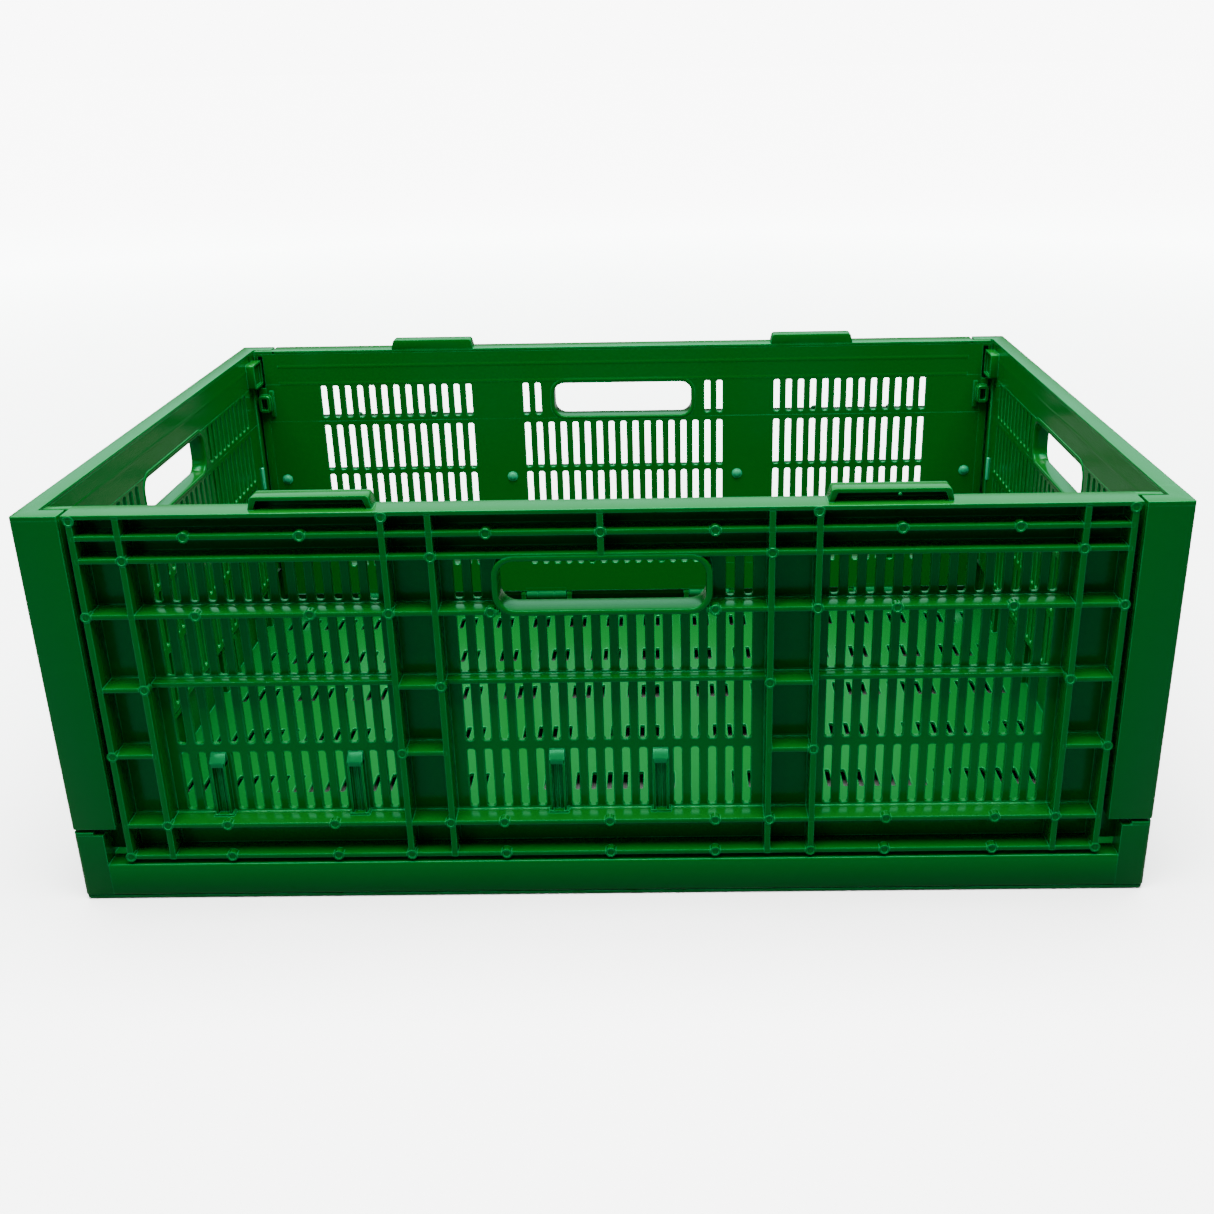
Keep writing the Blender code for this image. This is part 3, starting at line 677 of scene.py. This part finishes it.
def long_skin(part):
    """The thin inner plate: slotted fields, with plain bands between them."""
    plate, middle = (LONG_SKIN, LONG_INNER), (-NOTCH_U, NOTCH_U)
    bottom, top = LONG_SKIN_LOW, RIM_Z - RIM_LIP / 2
    part.box(middle, plate, (bottom, ROW_EDGES[4]), 0)
    part.box(middle, (LONG_SKIN, LONG_INNER - FLUSH), (ROW_EDGES[0], top), 0)
    for side in (-1, 1):
        end = (side * NOTCH_U, side * LAP_END)
        for z in ((bottom, NOTCH_Z[0]), (NOTCH_Z[1], top)):
            part.box(end, plate, z, plain=((0, end[0]),))
    inner, outer = SIDE_CENTRE - SIDE_CELLS_U, SIDE_CENTRE + SIDE_CELLS_U
    rows, bands = [], []
    for row, holes in enumerate(SLOT_ROWS):
        cells = (ROW_EDGES[row + 1], ROW_EDGES[row])
        for side in (-1, 1):
            rows.append(cell_row(side * SIDE_CENTRE, cells, holes, SIDE_SLOTS))
            bands += [((side * CENTRE_CELLS_U, side * inner), cells),
                      ((side * outer, side * NOTCH_U), cells)]
        if row:
            rows.append(cell_row(0.0, cells, holes, CENTRE_SLOTS))
            continue
        pair = 2 * PITCH
        rows += [cell_row(side * (CENTRE_CELLS_U - pair / 2), cells, holes, 2) for side in (-1, 1)]
        rows.append(hand_cell(cells, 2 * (CENTRE_CELLS_U - pair)))
        part.plate(rows, bands, on_wall(LONG_SKIN))
        rows, bands = [], []
    part.plate(rows, bands, on_wall(LONG_SKIN))


def hand_cell(cells, width):
    """The wide cell of the top row that leaves room for the hand hole's collar."""
    return cell_row(0.0, cells, (HAND_LOW - 0.0004, HAND_HIGH - 0.0008), 1, width,
                    2 * HAND_HALF + 0.001, HAND_RADIUS, chamfer=0.0006)


def long_ribs(part):
    depth = LONG_SKIN - LONG_FACE + 0.0010
    outer = UPRIGHTS[0]
    lines = [((-outer, RIB_Z[name]), (outer, RIB_Z[name])) for name in "abfg"]
    lines += [((side * HAND_HALF, RIB_Z["c"]), (side * outer, RIB_Z["c"])) for side in (-1, 1)]
    for side in (-1, 1):
        for near, far in (INNER_BAY, OUTER_BAY):
            lines += [((side * near, RIB_Z[name]), (side * far, RIB_Z[name])) for name in "de"]
    part.ribs(lines, LONG_FACE + 2 * FLUSH, depth)
    low, high = RIB_Z["g"] - RIB_THICK / 2, RIM_Z - RIM_LIP / 2
    uprights = [((side * u, low), (side * u, high)) for side in (-1, 1) for u in UPRIGHTS]
    uprights.append(((0.0, RIB_Z["b"]), (0.0, high)))
    part.ribs(uprights, LONG_FACE + FLUSH, depth, UPRIGHT_THICK)
    wide = [((-UPRIGHTS[3], RIB_Z["d"]), (UPRIGHTS[3], RIB_Z["d"]))]
    wide += [((side * OPEN_BAY[0], RIB_Z["d"]), (side * OPEN_BAY[1], RIB_Z["d"]))
             for side in (-1, 1)]
    part.ribs(wide, HALF_RIB_FACE, LONG_SKIN - HALF_RIB_FACE + 0.0010)
    for name, spans in FILLETS.items():
        for near, far in spans:
            for side in (-1, 1):
                fillet(part, side * near, side * far, RIB_Z[name] + RIB_THICK / 2)
    part.box((-RIM_END, RIM_END), (LONG_FACE, LONG_INNER), (RIM_Z - RIM_LIP, RIM_Z), 0.0006, 3)
    for name, places in PAD_ROWS.items():
        z = RIM_Z - 0.0032 if name == "rim" else RIB_Z[name]
        spots = [(side * u, z) for u in places for side in ((-1, 1) if u else (1,))]
        part.pads(spots, LONG_FACE - 0.00015)


def fillet(part, start, stop, z, size=0.0011):
    """The round foot of a rib's upper face, where it meets the skin."""
    front, sunk = LONG_SKIN - size, 0.0003
    section = [(LONG_SKIN + sunk, z - sunk), (front, z - sunk), (front, z)]
    section += [(front + size * math.sin(t * math.pi / 8),
                 z + size * (1 - math.cos(t * math.pi / 8))) for t in range(1, 5)]
    section.append((LONG_SKIN + sunk, z + size))
    part.bar(section, sorted((start, stop)))


def stacking_tab(part, u):
    """A hollow tab with sloping ends and a mouth to the outside."""
    base, crest, wall = 0.0318, 0.0285, 0.0022
    top = TOP_Z - 0.0001
    foot = RIM_Z - 0.0008
    outer = [(u - base, foot), (u - base, RIM_Z + 0.0006)]
    outer += arc((u - crest, top - 0.0022), 0.0022, 2, 1, 4)
    outer += arc((u + crest, top - 0.0022), 0.0022, 1, 0, 4)
    outer += [(u + base, RIM_Z + 0.0006), (u + base, foot)]
    inner = [(u + base - wall * 1.1, foot), (u + crest - wall * 0.6, top - wall),
             (u - crest + wall * 0.6, top - wall), (u - base + wall * 1.1, foot)]
    part.slab(outer + inner, (0.0052, 0.0145), 0.0005)
    part.slab(outer, (0.0142, LONG_INNER), 0.0006)
    if u > 0:
        part.lathe((u + 0.004, 0.0046, top - 0.003), "D", ((0.0, 0.0006), (0.0007, 0.0009)), 12)


def card_clip(part, u):
    """An upright clip on rib f: two rails and a tongue under a sloping cap."""
    foot, top = RIB_Z["f"], 0.0866
    face, back, slope = 0.0086, LONG_SKIN + 0.0008, 0.0042
    brow = top - slope
    for side in (-1, 1):
        part.box((u + side * 0.0044, u + side * 0.0031), (face, back), (foot, brow), 0.0004)
        part.box((u + side * 0.0014, u + side * 0.0007), (face + 0.0022, face + 0.0040),
                 (foot, brow), 0.0003, 1)
    part.box((u - 0.0033, u + 0.0033), (face + 0.0030, face + 0.0044), (foot, brow))
    since = len(part.mesh.faces)
    rings = [[(u - half, near, z), (u + half, near, z), (u + half, back, z), (u - half, back, z)]
             for half, near, z in ((0.0044, face, brow - 0.0030), (0.0044, face, brow),
                                   (0.0041, face + slope, top))]
    part.solid(rings, 0.0006)
    # Painted highlight: the sloping cap is lightened towards mint.
    part.painted_light(since, 0.10)
    part.box((u - 0.0056, u + 0.0056), (face - 0.0006, LONG_SKIN), (foot, foot + 0.0026))


def knuckle(part, u):
    """A hinge knuckle with a web up into rib g, and grooves round its barrel."""
    d, z = LONG_AXIS
    radius, half = 0.0048, KNUCKLE_HALF
    right = [(0.0061, radius), (0.0064, radius - 0.0004), (0.0072, radius - 0.0004),
             (0.0075, radius), (half - 0.0005, radius), (half, radius - 0.0005)]
    profile = [(-place, size) for place, size in right[::-1]] + right
    since = len(part.mesh.faces)
    part.lathe((u, d, z), "U", profile)
    part.box((u - half, u + half), (d - radius * 0.9, d + radius * 0.82), (z, RIB_Z["g"] + 0.001))
    # Painted highlight: the knuckle is lightened towards mint.
    part.painted_light(since, 0.10)


def snap_lug(part, side):
    """The round-eyed lug at the wall's end that snaps behind the end wall's guide."""
    centre, half, root = side * 0.28235, 0.0047, LONG_INNER - 0.001
    z0, z1 = 0.1832, 0.1968
    part.hoop((centre - half, centre + half, z0, z1, 0.0027),
              ((0.0, root), (0.0, 0.0218), (-0.0006, 0.0224), (-0.0022, 0.0224),
               (-0.0026, 0.0220), (-0.0026, root)), 4)
    part.box((side * 0.2760, side * 0.2790), (LONG_INNER - 0.0005, LONG_INNER + 0.0016),
             (z0 - 0.004, z1 + 0.003))


def lap_strip(part, side):
    """Short bars on the strip that laps behind the corner flange."""
    start = side * (UPRIGHTS[0] + 0.001)
    z = END_BOTTOM_Z + 0.0045
    while z < RIM_Z - 0.012:
        if not NOTCH_Z[0] - 0.003 < z < NOTCH_Z[1]:
            part.box((start, side * (LAP_END - 0.0006)), (LAP_FACE, LONG_SKIN + 0.0005),
                     (z, z + 0.0016), 0.0003, 1)
        z += 0.0105
    part.box((start, side * LAP_END), (LAP_FACE, LONG_INNER), (RIM_Z - RIM_LIP, RIM_Z - FLUSH))


def gate_marks(part):
    """The round vestiges of the injection gates on the wall's inner face, painted bright mint as
    painted light.
    """
    for u in (-0.2729, -0.0905, 0.0905, 0.2729):
        dome = [(-0.0010, 0.0040), (0.0003, 0.0040), (0.0005, 0.0037), (0.0006, 0.0031)]
        dome += [(0.0006 + 0.0011 * math.sin(t * math.pi / 12), 0.0029 * math.cos(t * math.pi / 12))
                 for t in range(1, 6)]
        since = len(part.mesh.faces)
        part.lathe((u, LONG_INNER, 0.1262), "D", dome, 20)
        # Painted light: the domes are painted bright mint, standing in for the light they catch and
        # let through.
        part.painted_light(since, 0.45)
    for z in (0.2186, 0.2050):
        swell(part, UPRIGHTS[0], LONG_INNER, z)


def swell(part, half, face, z, high=0.00025, spread=0.0020):
    """A faint level swelling on an inner face, opposite a rib."""
    part.bar(((face - 0.0002, z - spread), (face + high, z), (face - 0.0002, z + spread)),
             (-half, half))


# ---------------------------------------------------------------- end wall

END_AXIS = (0.0060, 0.0420)
END_HINGES_U = (-0.1400, -0.0520, 0.0520, 0.1400)
END_KNUCKLE_HALF = 0.012
GUIDE_U = (0.1652, 0.1858)
GUIDE_Z = (0.2047, 0.2243)
HAND_CELLS = 13


def end_wall():
    part = Moulding()
    end_skin(part)
    end_ribs(part)
    collar(part, HAND_HOLE, END_FACE - 2 * FLUSH, END_INNER + 0.0004, 0.0038, 0.0013)
    for side in (-1, 1):
        corner_column(part, side)
        corner_guide(part, side)
    for u in END_HINGES_U:
        end_knuckle(part, u)
    swell(part, GUIDE_U[0], END_INNER, 0.2186)
    return part.mesh_data("end_wall", FINISH["wall"])


def end_skin(part):
    """The thin inner plate: one slotted field between plain bands."""
    reach = WIDTH / 2 - FLANGE_U + 0.0005
    part.box((-reach, reach), (END_SKIN, END_INNER), (END_BOTTOM_Z + 0.0006, ROW_EDGES[4]), 0)
    part.box((-reach, reach), (END_SKIN, END_INNER - FLUSH),
             (ROW_EDGES[0], RIM_Z - RIM_LIP / 2), 0)
    rows, bands = [], []
    for row, holes in enumerate(SLOT_ROWS):
        cells = (ROW_EDGES[row + 1], ROW_EDGES[row])
        bands += [((side * END_CELLS_U, side * reach), cells) for side in (-1, 1)]
        if row:
            rows.append(cell_row(0.0, cells, holes, END_SLOTS))
            continue
        each = (END_SLOTS - HAND_CELLS) // 2
        rows = [cell_row(side * (END_CELLS_U - each * PITCH / 2), cells, holes, each)
                for side in (-1, 1)]
        part.plate(rows + [hand_cell(cells, HAND_CELLS * PITCH)], bands, on_wall(END_SKIN))
        rows, bands = [], []
    part.plate(rows, bands, on_wall(END_SKIN))


def end_ribs(part):
    depth = END_SKIN - END_FACE + 0.0010
    reach = COLUMN_U + 0.001
    lines = [((-reach, RIB_Z[name]), (reach, RIB_Z[name])) for name in "abde"]
    lines += [((side * HAND_HALF, RIB_Z["c"]), (side * reach, RIB_Z["c"])) for side in (-1, 1)]
    low_rib = END_BOTTOM_Z + 0.0006 + RIB_THICK / 2
    lines.append(((-reach, low_rib), (reach, low_rib)))
    part.ribs(lines, END_FACE + FLUSH, depth)
    hand_rib, outer_rib = HAND_CELLS / 2 * PITCH, 0.1605
    uprights = [((side * u, low_rib), (side * u, RIM_Z - 0.001))
                for side in (-1, 1) for u in (hand_rib, outer_rib)]
    part.ribs(uprights, END_FACE, depth, UPRIGHT_THICK)
    ends = ((0, COLUMN_U), (0, -COLUMN_U))
    part.box((-COLUMN_U, COLUMN_U), (0.0, END_INNER), (RIM_Z - RIM_LIP, RIM_Z), 0.0006, 3, ends)
    spots = []
    for name in "abcde":
        shift = 0.0 if name in "bd" else 0.03
        spots += [(side * (u + shift), RIB_Z[name]) for side in (-1, 1) for u in (hand_rib, 0.1305)
                  if u + shift < 0.17]
    part.pads(spots, END_FACE - 0.00015)


def corner_column(part, side):
    """The corner's outer column and the flange that covers the long wall's end."""
    half, radius, wall = WIDTH / 2, 0.0016, 0.0026
    low, brim = END_BOTTOM_Z, RIM_Z - RIM_LIP

    def points(pairs):
        return [(side * (half - inset), depth) for inset, depth in pairs]

    column = half - COLUMN_U
    bend = [(radius * (1 - math.sin(t * math.pi / 8)), radius * (1 - math.cos(t * math.pi / 8)))
            for t in range(5)]
    outside = [(column, 0.0), *bend, (0.0, FLANGE_DEPTH)]
    shell = points(outside + [(wall, FLANGE_DEPTH), (wall, 2 * wall), (2 * wall, wall),
                              (column, wall)])
    part.plan(shell, (low, brim), 0.0005, 2, ((2, brim),))
    cap = points(outside + [(FLANGE_U, FLANGE_DEPTH), (FLANGE_U, END_INNER), (column, END_INNER)])
    part.plan(cap, (brim, RIM_Z), 0.0006, 3, ((2, brim), (0, side * COLUMN_U)))
    inside = (side * (half - FLANGE_U), side * (half - wall / 2))
    part.box(inside, (FLANGE_DEPTH - wall, FLANGE_DEPTH - FLUSH), (low + FLUSH, brim), 0.0004)
    part.box(inside, (END_SKIN, END_INNER + wall), (low + FLUSH, brim), 0.0004)
    part.box((side * COLUMN_U, side * (COLUMN_U + wall)), (wall / 2, END_INNER - FLUSH),
             (low + FLUSH, brim))
    z = low + FLUSH
    while z < brim - 0.01:
        part.box(inside, (wall / 2, FLANGE_DEPTH - 2 * FLUSH), (z, z + 0.0018), 0.0003, 1)
        z += 0.0300


def corner_guide(part, side):
    """The guide block the long wall's end slides under, with a sunk panel in its face."""
    low, high = sorted((side * GUIDE_U[0], side * GUIDE_U[1]))
    lip, inner, proud = 0.0016, END_INNER - 0.001, END_INNER + 0.0062
    part.hoop((low, high, *GUIDE_Z, 0.0020),
              ((0.0, inner), (0.0, proud - 0.0004), (-0.0004, proud), (-lip, proud),
               (-lip - 0.0003, proud - 0.0004), (-lip - 0.0003, inner)), 3)
    part.box((low + lip, high - lip), (inner, proud - 0.0022),
             (GUIDE_Z[0] + lip, GUIDE_Z[1] - lip), 0)
    part.box((side * 0.1765, side * 0.1832), (inner, END_INNER + 0.0009),
             (END_BOTTOM_Z + 0.0040, GUIDE_Z[0] - 0.0010), 0.0006)
    since = len(part.mesh.faces)
    part.box((side * 0.1715, side * 0.1745), (inner, END_INNER + 0.0014), (0.1215, 0.1395),
             0.0007, 3)
    # Painted highlight: this small strip is painted strongly towards mint.
    part.painted_light(since, 0.7)


def end_knuckle(part, u):
    d, z = END_AXIS
    radius, half = 0.0035, END_KNUCKLE_HALF
    profile = [(-half, radius - 0.0004), (-half + 0.0004, radius), (half - 0.0004, radius),
               (half, radius - 0.0004)]
    part.lathe((u, d, z), "U", profile)
    part.box((u - half, u + half), (d - radius * 0.9, d + radius * 0.9), (z, END_BOTTOM_Z + 0.0020))


# ---------------------------------------------------------------- base tray

def base_tray():
    """The tray in world axes: U is X, D is Y."""
    part = Moulding()
    half_x, half_y = LENGTH / 2, WIDTH / 2
    tray_floor(part, half_x, half_y)
    for side in (-1, 1):
        rail(part, side, half_x, half_y)
        upstand(part, side, half_x, half_y)
    hinge_lugs(part, half_x, half_y)
    return part.mesh_data("base_tray", FINISH["base"])


def ring_plan(half_x, half_y, radius, shrink):
    """The tray's outline drawn in by shrink; its corners never get sharper than 0.5 mm."""
    return rounded(shrink - half_x, half_x - shrink, shrink - half_y, half_y - shrink,
                   max(radius - shrink, 0.0005))


def tray_floor(part, half_x, half_y):
    """Slotted floor in rows between plain margins, over the foot ring and its ribs."""
    columns, rows = 56, 6
    pitch_x, pitch_y = 0.0100, 0.0619
    plate = 0.0026
    field_x, field_y = columns * pitch_x / 2, rows * pitch_y / 2
    edge_x, edge_y = half_x - 0.004, half_y - 0.004
    cells, bands = [], []
    for row in range(rows):
        y = (row - (rows - 1) / 2) * pitch_y
        span = (y - pitch_y / 2, y + pitch_y / 2)
        cells.append(cell_row(0.0, span, (y - 0.0105, y + 0.0105), columns, pitch_x, 0.0030,
                              0.0014, plate))
        bands += [((side * field_x, side * edge_x), span) for side in (-1, 1)]
    since = len(part.mesh.faces)
    part.plate(cells, bands, Matrix.Translation((0, 0, FLOOR_TOP)), plate)
    for side in (-1, 1):
        part.box((-edge_x, edge_x), (side * field_y, side * edge_y),
                 (FLOOR_TOP - plate, FLOOR_TOP), 0)
    # A faint painted highlight towards mint on the floor.
    part.painted_light(since, 0.02)
    inset = 0.0004
    outer = [(0.0008, 0.0), (0.0001, 0.0007), (0.0, 0.0021), (0.0008, 0.0025), (0.0008, 0.0085)]
    outlines = []
    for shrink, z in outer + [(0.0120, 0.0085), (0.0120, 0.0)]:
        ring = ring_plan(half_x - inset, half_y - inset, 0.0024, shrink)
        outlines.append([(x, y, z) for x, y in ring])
    part.keep(skinned(outlines, around=True))
    under = (0.0020, FLOOR_TOP - plate + 0.0002)
    for i in range(1, 4):
        x = (i - 2) * 0.1429
        part.box((x - 0.0011, x + 0.0011), (-half_y + 0.010, half_y - 0.010), under, 0.0003, 1)
    for j in (-1, 1):
        y = j * 0.0619
        part.box((-half_x + 0.010, half_x - 0.010), (y - 0.0011, y + 0.0011), under, 0.0003, 1)


def rail(part, side, half_x, half_y):
    """The long rail under a long wall, with a rounded foot line and a flat top."""
    outer = side * half_y
    wide, thick, below = 0.0118, 0.0028, RAIL_Z - 0.0027
    section = ((0.0, RAIL_FOOT + 0.0005), (0.0, RAIL_Z - 0.0012), (0.0004, RAIL_Z - 0.0004),
               (0.0012, RAIL_Z), (wide, RAIL_Z), (wide, below), (thick, below),
               (thick, FLOOR_TOP - 0.001), (wide, FLOOR_TOP - 0.001), (wide, 0.0060),
               (0.0016, RAIL_FOOT), (0.0004, RAIL_FOOT))
    reach = half_x - POST_WIDTH
    part.bar([(outer - side * d, z) for d, z in section], (-reach, reach), 0.0003, 1,
             ((0, -reach), (0, reach)))


def upstand(part, side, half_x, half_y):
    """The end's outer wall, its hinge ledge and the two corner posts."""
    radius, thick, deep, ledge = 0.0026, 0.0054, 0.0105, 0.0420

    def corner(end):
        bend = arc((half_x - radius, end * (half_y - radius)), radius, 0, end, 6)
        return [(side * x, y) for x, y in bend]

    near, far = corner(-1)[::-1], corner(1)

    def post(end, width, inside=thick):
        back, step = side * (half_x - width), end * (half_y - deep)
        return [(back, end * half_y), (back, step), (side * (half_x - inside), step)]

    plan = near + far + post(1, POST_WIDTH) + post(-1, POST_WIDTH)[::-1]
    seam = ((2, ledge), (0, side * (half_x - POST_WIDTH)))
    part.plan(plan, (RAIL_FOOT, ledge), 0.0005, 2, seam)
    for outline in (near + post(-1, 0.0112, 0.0)[::-1], far + post(1, 0.0112, 0.0)):
        part.plan(outline, (ledge, 0.0440), 0.0004, 2, ((2, ledge),))
    part.box((side * half_x, side * (half_x - thick)), (-half_y + deep, half_y - deep),
             (ledge, UPSTAND_Z), 0.0005, 2, ((2, ledge),))


def hinge_lugs(part, half_x, half_y):
    """The lugs that hold the pins beside each knuckle."""
    for side in (-1, 1):
        for x in HINGES_U:
            lug_pair(part, "U", x, KNUCKLE_HALF, side * (half_y - LONG_AXIS[0]), LONG_AXIS[1],
                     0.0043)
        for y in END_HINGES_U:
            lug_pair(part, "D", y, END_KNUCKLE_HALF, side * (half_x - END_AXIS[0]), END_AXIS[1],
                     0.0033)


def lug_pair(part, axis, middle, half, across, z, radius):
    """Two round-headed lugs on a hinge's axis, clear of both ends of its knuckle."""
    long, gap, low_z, round_by = 0.0040, 0.0005, 0.0080, 0.0003
    for end in (-1, 1):
        near = middle + end * (half + gap)
        low, high = sorted((near, near + end * long))
        spans = ((low + FLUSH, high - FLUSH), (across - radius + 0.0002, across + radius - 0.0002))
        place = (low, across)
        if axis == "D":
            spans, place = spans[::-1], place[::-1]
        part.box(*spans, (low_z, z), 0.0003, 1)
        part.lathe((*place, z), axis, ((0.0, radius - round_by), (round_by, radius),
                                       (long - round_by, radius), (long, radius - round_by)), 20)


# ---------------------------------------------------------------- putting it together

def stand(name, data, matrix, body, node):
    """A finished piece at the origin, riding on its body in place of its CAD node."""
    copy = data.copy()
    copy.name = name
    copy.transform(matrix)
    piece = bpy.data.objects.new(name, copy)
    bpy.context.scene.collection.objects.link(piece)
    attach(piece, body)
    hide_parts(node)


def turn(degrees):
    return Matrix.Rotation(math.radians(degrees), 4, "Z")


def split_rays(tree, rest, seen, output):
    """Camera rays meet one shader and all others meet another."""
    path = add(tree, "ShaderNodeLightPath").outputs["Is Camera Ray"]
    both = add(tree, "ShaderNodeMixShader", {0: path, 1: rest.outputs[0], 2: seen.outputs[0]})
    feed(tree, tree.nodes[output].inputs["Surface"], both.outputs[0])


def studio():
    """A white sweep of floor, a broad soft light above and a low one behind."""
    data = bpy.data.meshes.new("studio_floor")
    reach = 30.0
    data.from_pydata([(-reach, -reach, 0), (reach, -reach, 0), (reach, reach, 0),
                      (-reach, reach, 0)], [], [(0, 1, 2, 3)])
    data.materials.append(studio_paper())
    floor = bpy.data.objects.new("studio_floor", data)
    floor.location.z = -0.0002
    bpy.context.scene.collection.objects.link(floor)

    world = bpy.data.worlds.new("studio")
    world.use_nodes = True
    tree = world.node_tree
    backdrop = tree.nodes["Background"]
    backdrop.inputs["Color"].default_value = (1.0, 1.0, 1.0, 1.0)
    backdrop.inputs["Strength"].default_value = WHITE
    fill = add(tree, "ShaderNodeBackground", {"Color": (0.92, 1.0, 0.94, 1.0), "Strength": 0.14})
    split_rays(tree, fill, backdrop, "World Output")
    bpy.context.scene.world = world

    for name, place, aim, width, height, power, colour in LIGHTS:
        light = bpy.data.lights.new(name, "AREA")
        light.shape = "RECTANGLE"
        light.size, light.size_y, light.energy = width, height, power
        light.color = colour
        lamp = bpy.data.objects.new(name, light)
        lamp.location = place
        aim_at = Vector(aim) - Vector(place)
        lamp.rotation_euler = aim_at.to_track_quat("-Z", "Y").to_euler()
        lamp.visible_camera = False
        bpy.context.scene.collection.objects.link(lamp)


def studio_paper():
    """Paper that looks white but throws little light back, and stays white far off; under the
    crate, camera rays see it painted dark grey as painted shade.
    """
    material = bpy.data.materials.new("studio_paper")
    material.use_nodes = True
    tree = material.node_tree
    shader = tree.nodes["Principled BSDF"]
    shader.inputs["Base Color"].default_value = (0.19, 0.20, 0.195, 1.0)
    shader.inputs["Roughness"].default_value = 0.9
    shader.inputs["Specular IOR Level"].default_value = 0.1
    place = add(tree, "ShaderNodeTexCoord").outputs["Object"]
    out = add(tree, "ShaderNodeVectorMath", {0: place}, operation="ABSOLUTE")
    axes = add(tree, "ShaderNodeSeparateXYZ", {0: out.outputs[0]})
    # Painted shade: inside the crate's footprint, camera rays see the paper dark grey.
    under = maths(tree, "MULTIPLY",
                  maths(tree, "LESS_THAN", axes.outputs[0], LENGTH / 2 - UNDER_INSET),
                  maths(tree, "LESS_THAN", axes.outputs[1], WIDTH / 2 - UNDER_INSET))
    near = add(tree, "ShaderNodeBsdfDiffuse",
               {"Color": mix_colour(tree, under, (*[PAPER_GAIN] * 3, 1.0), UNDER_CRATE_SHADE)})
    reach = add(tree, "ShaderNodeVectorMath", {0: place}, operation="LENGTH")
    glow = maths(tree, "MULTIPLY", ramp(tree, reach.outputs["Value"], 0.5, 2.6), WHITE)
    far = add(tree, "ShaderNodeEmission", {"Strength": glow})
    shown = add(tree, "ShaderNodeAddShader", {0: near.outputs[0], 1: far.outputs[0]})
    split_rays(tree, shader, shown, "Material Output")
    return material


def camera():
    """The camera stands before the front wall, a little right of the middle, looking down."""
    data = bpy.data.cameras.new("camera")
    data.sensor_width = 36.0
    data.lens = 38.57
    data.shift_x = -0.0377
    data.shift_y = -0.0482
    data.clip_start, data.clip_end = 0.01, 30.0
    eye = bpy.data.objects.new("camera", data)
    tilt, pan, roll = 0.367923, 0.006544, -0.016794
    look = (Matrix.Rotation(tilt, 3, "X") @ Matrix.Rotation(pan, 3, "Y")
            @ Matrix.Rotation(roll, 3, "Z") @ Matrix(((1, 0, 0), (0, 0, -1), (0, 1, 0))))
    axes = Matrix((look[0], -look[1], -look[2])).transposed()
    eye.matrix_world = Matrix.Translation((0.0346, -0.8180, 0.4479)) @ axes.to_4x4()
    bpy.context.scene.collection.objects.link(eye)
    bpy.context.scene.camera = eye


WHITE = 9.0
PAPER_GAIN = 1.5
# The painted shade camera rays see on the paper under the crate.
UNDER_CRATE_SHADE = (0.10, 0.11, 0.10, 1.0)
UNDER_INSET = 0.01
LIGHTS = (("overhead", (0.0, -0.22, 1.9), (0.0, -0.22, 0.0), 2.2, 1.6, 215.0, (1.0, 1.0, 1.0)),
          ("behind", (0.0, 2.6, 1.50), (0.0, 0.0, 0.2), 4.0, 1.4, 36.0, (0.32, 1.0, 0.74)),
          ("front_left", (-1.3, -1.6, 0.9), (0.0, 0.0, 0.1), 0.9, 0.9, 5.0, (0.9, 1.0, 0.95)))
GROUPS = {"moulding": moulding_group(), "edges": edge_highlight_group()}
TREES = {"row": perforated_row_tree(), "ribs": rib_tree(), "pads": pad_tree()}
GREEN = (0.0, 0.074, 0.0055, 1.0)
# The bright mint of the painted light on small marks.
PAINTED_LIGHT_MINT = (0.03, 0.46, 0.24, 1.0)
SHEEN = (0.0, 1.0, 0.40, 1.0)
# The paler green of the painted edge highlight.
EDGE_HIGHLIGHT_GREEN = (0.004, 0.250, 0.070, 1.0)
# Each finish's last figure is the strength of its painted edge highlight.
FINISH = {"wall": plastic("wall_green", GREEN, EDGE_HIGHLIGHT_GREEN, 0.18, 0.8),
          "base": plastic("base_green", (0.0, 0.066, 0.0055, 1.0), EDGE_HIGHLIGHT_GREEN, 0.22, 0.8),
          "pin": plastic("pin_green", (0.010, 0.210, 0.080, 1.0), (0.08, 0.40, 0.22, 1.0), 0.22,
                         0.7)}

camera()
studio()

long_mesh = long_wall()
end_mesh = end_wall()
base_mesh = base_tray()
to_front = Matrix.Translation((0, -WIDTH / 2, 0))
to_end = Matrix.Translation((0, -LENGTH / 2, 0))
for name, data, matrix, body, node in (
        ("front_panel", long_mesh, to_front, "front_wall", "front_wall"),
        ("back_panel", long_mesh, turn(180) @ to_front, "back_wall", "back_wall"),
        ("left_end_panel", end_mesh, turn(-90) @ to_end, "left_end_wall", "left_end_wall"),
        ("right_end_panel", end_mesh, turn(90) @ to_end, "right_end_wall", "right_end_wall"),
        ("tray", base_mesh, Matrix.Identity(4), "base", "base_tray")):
    stand(name, data, matrix, body, node)
for name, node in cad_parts.items():
    if "hinge_pin" in name:
        node.data.materials.clear()
        node.data.materials.append(FINISH["pin"])
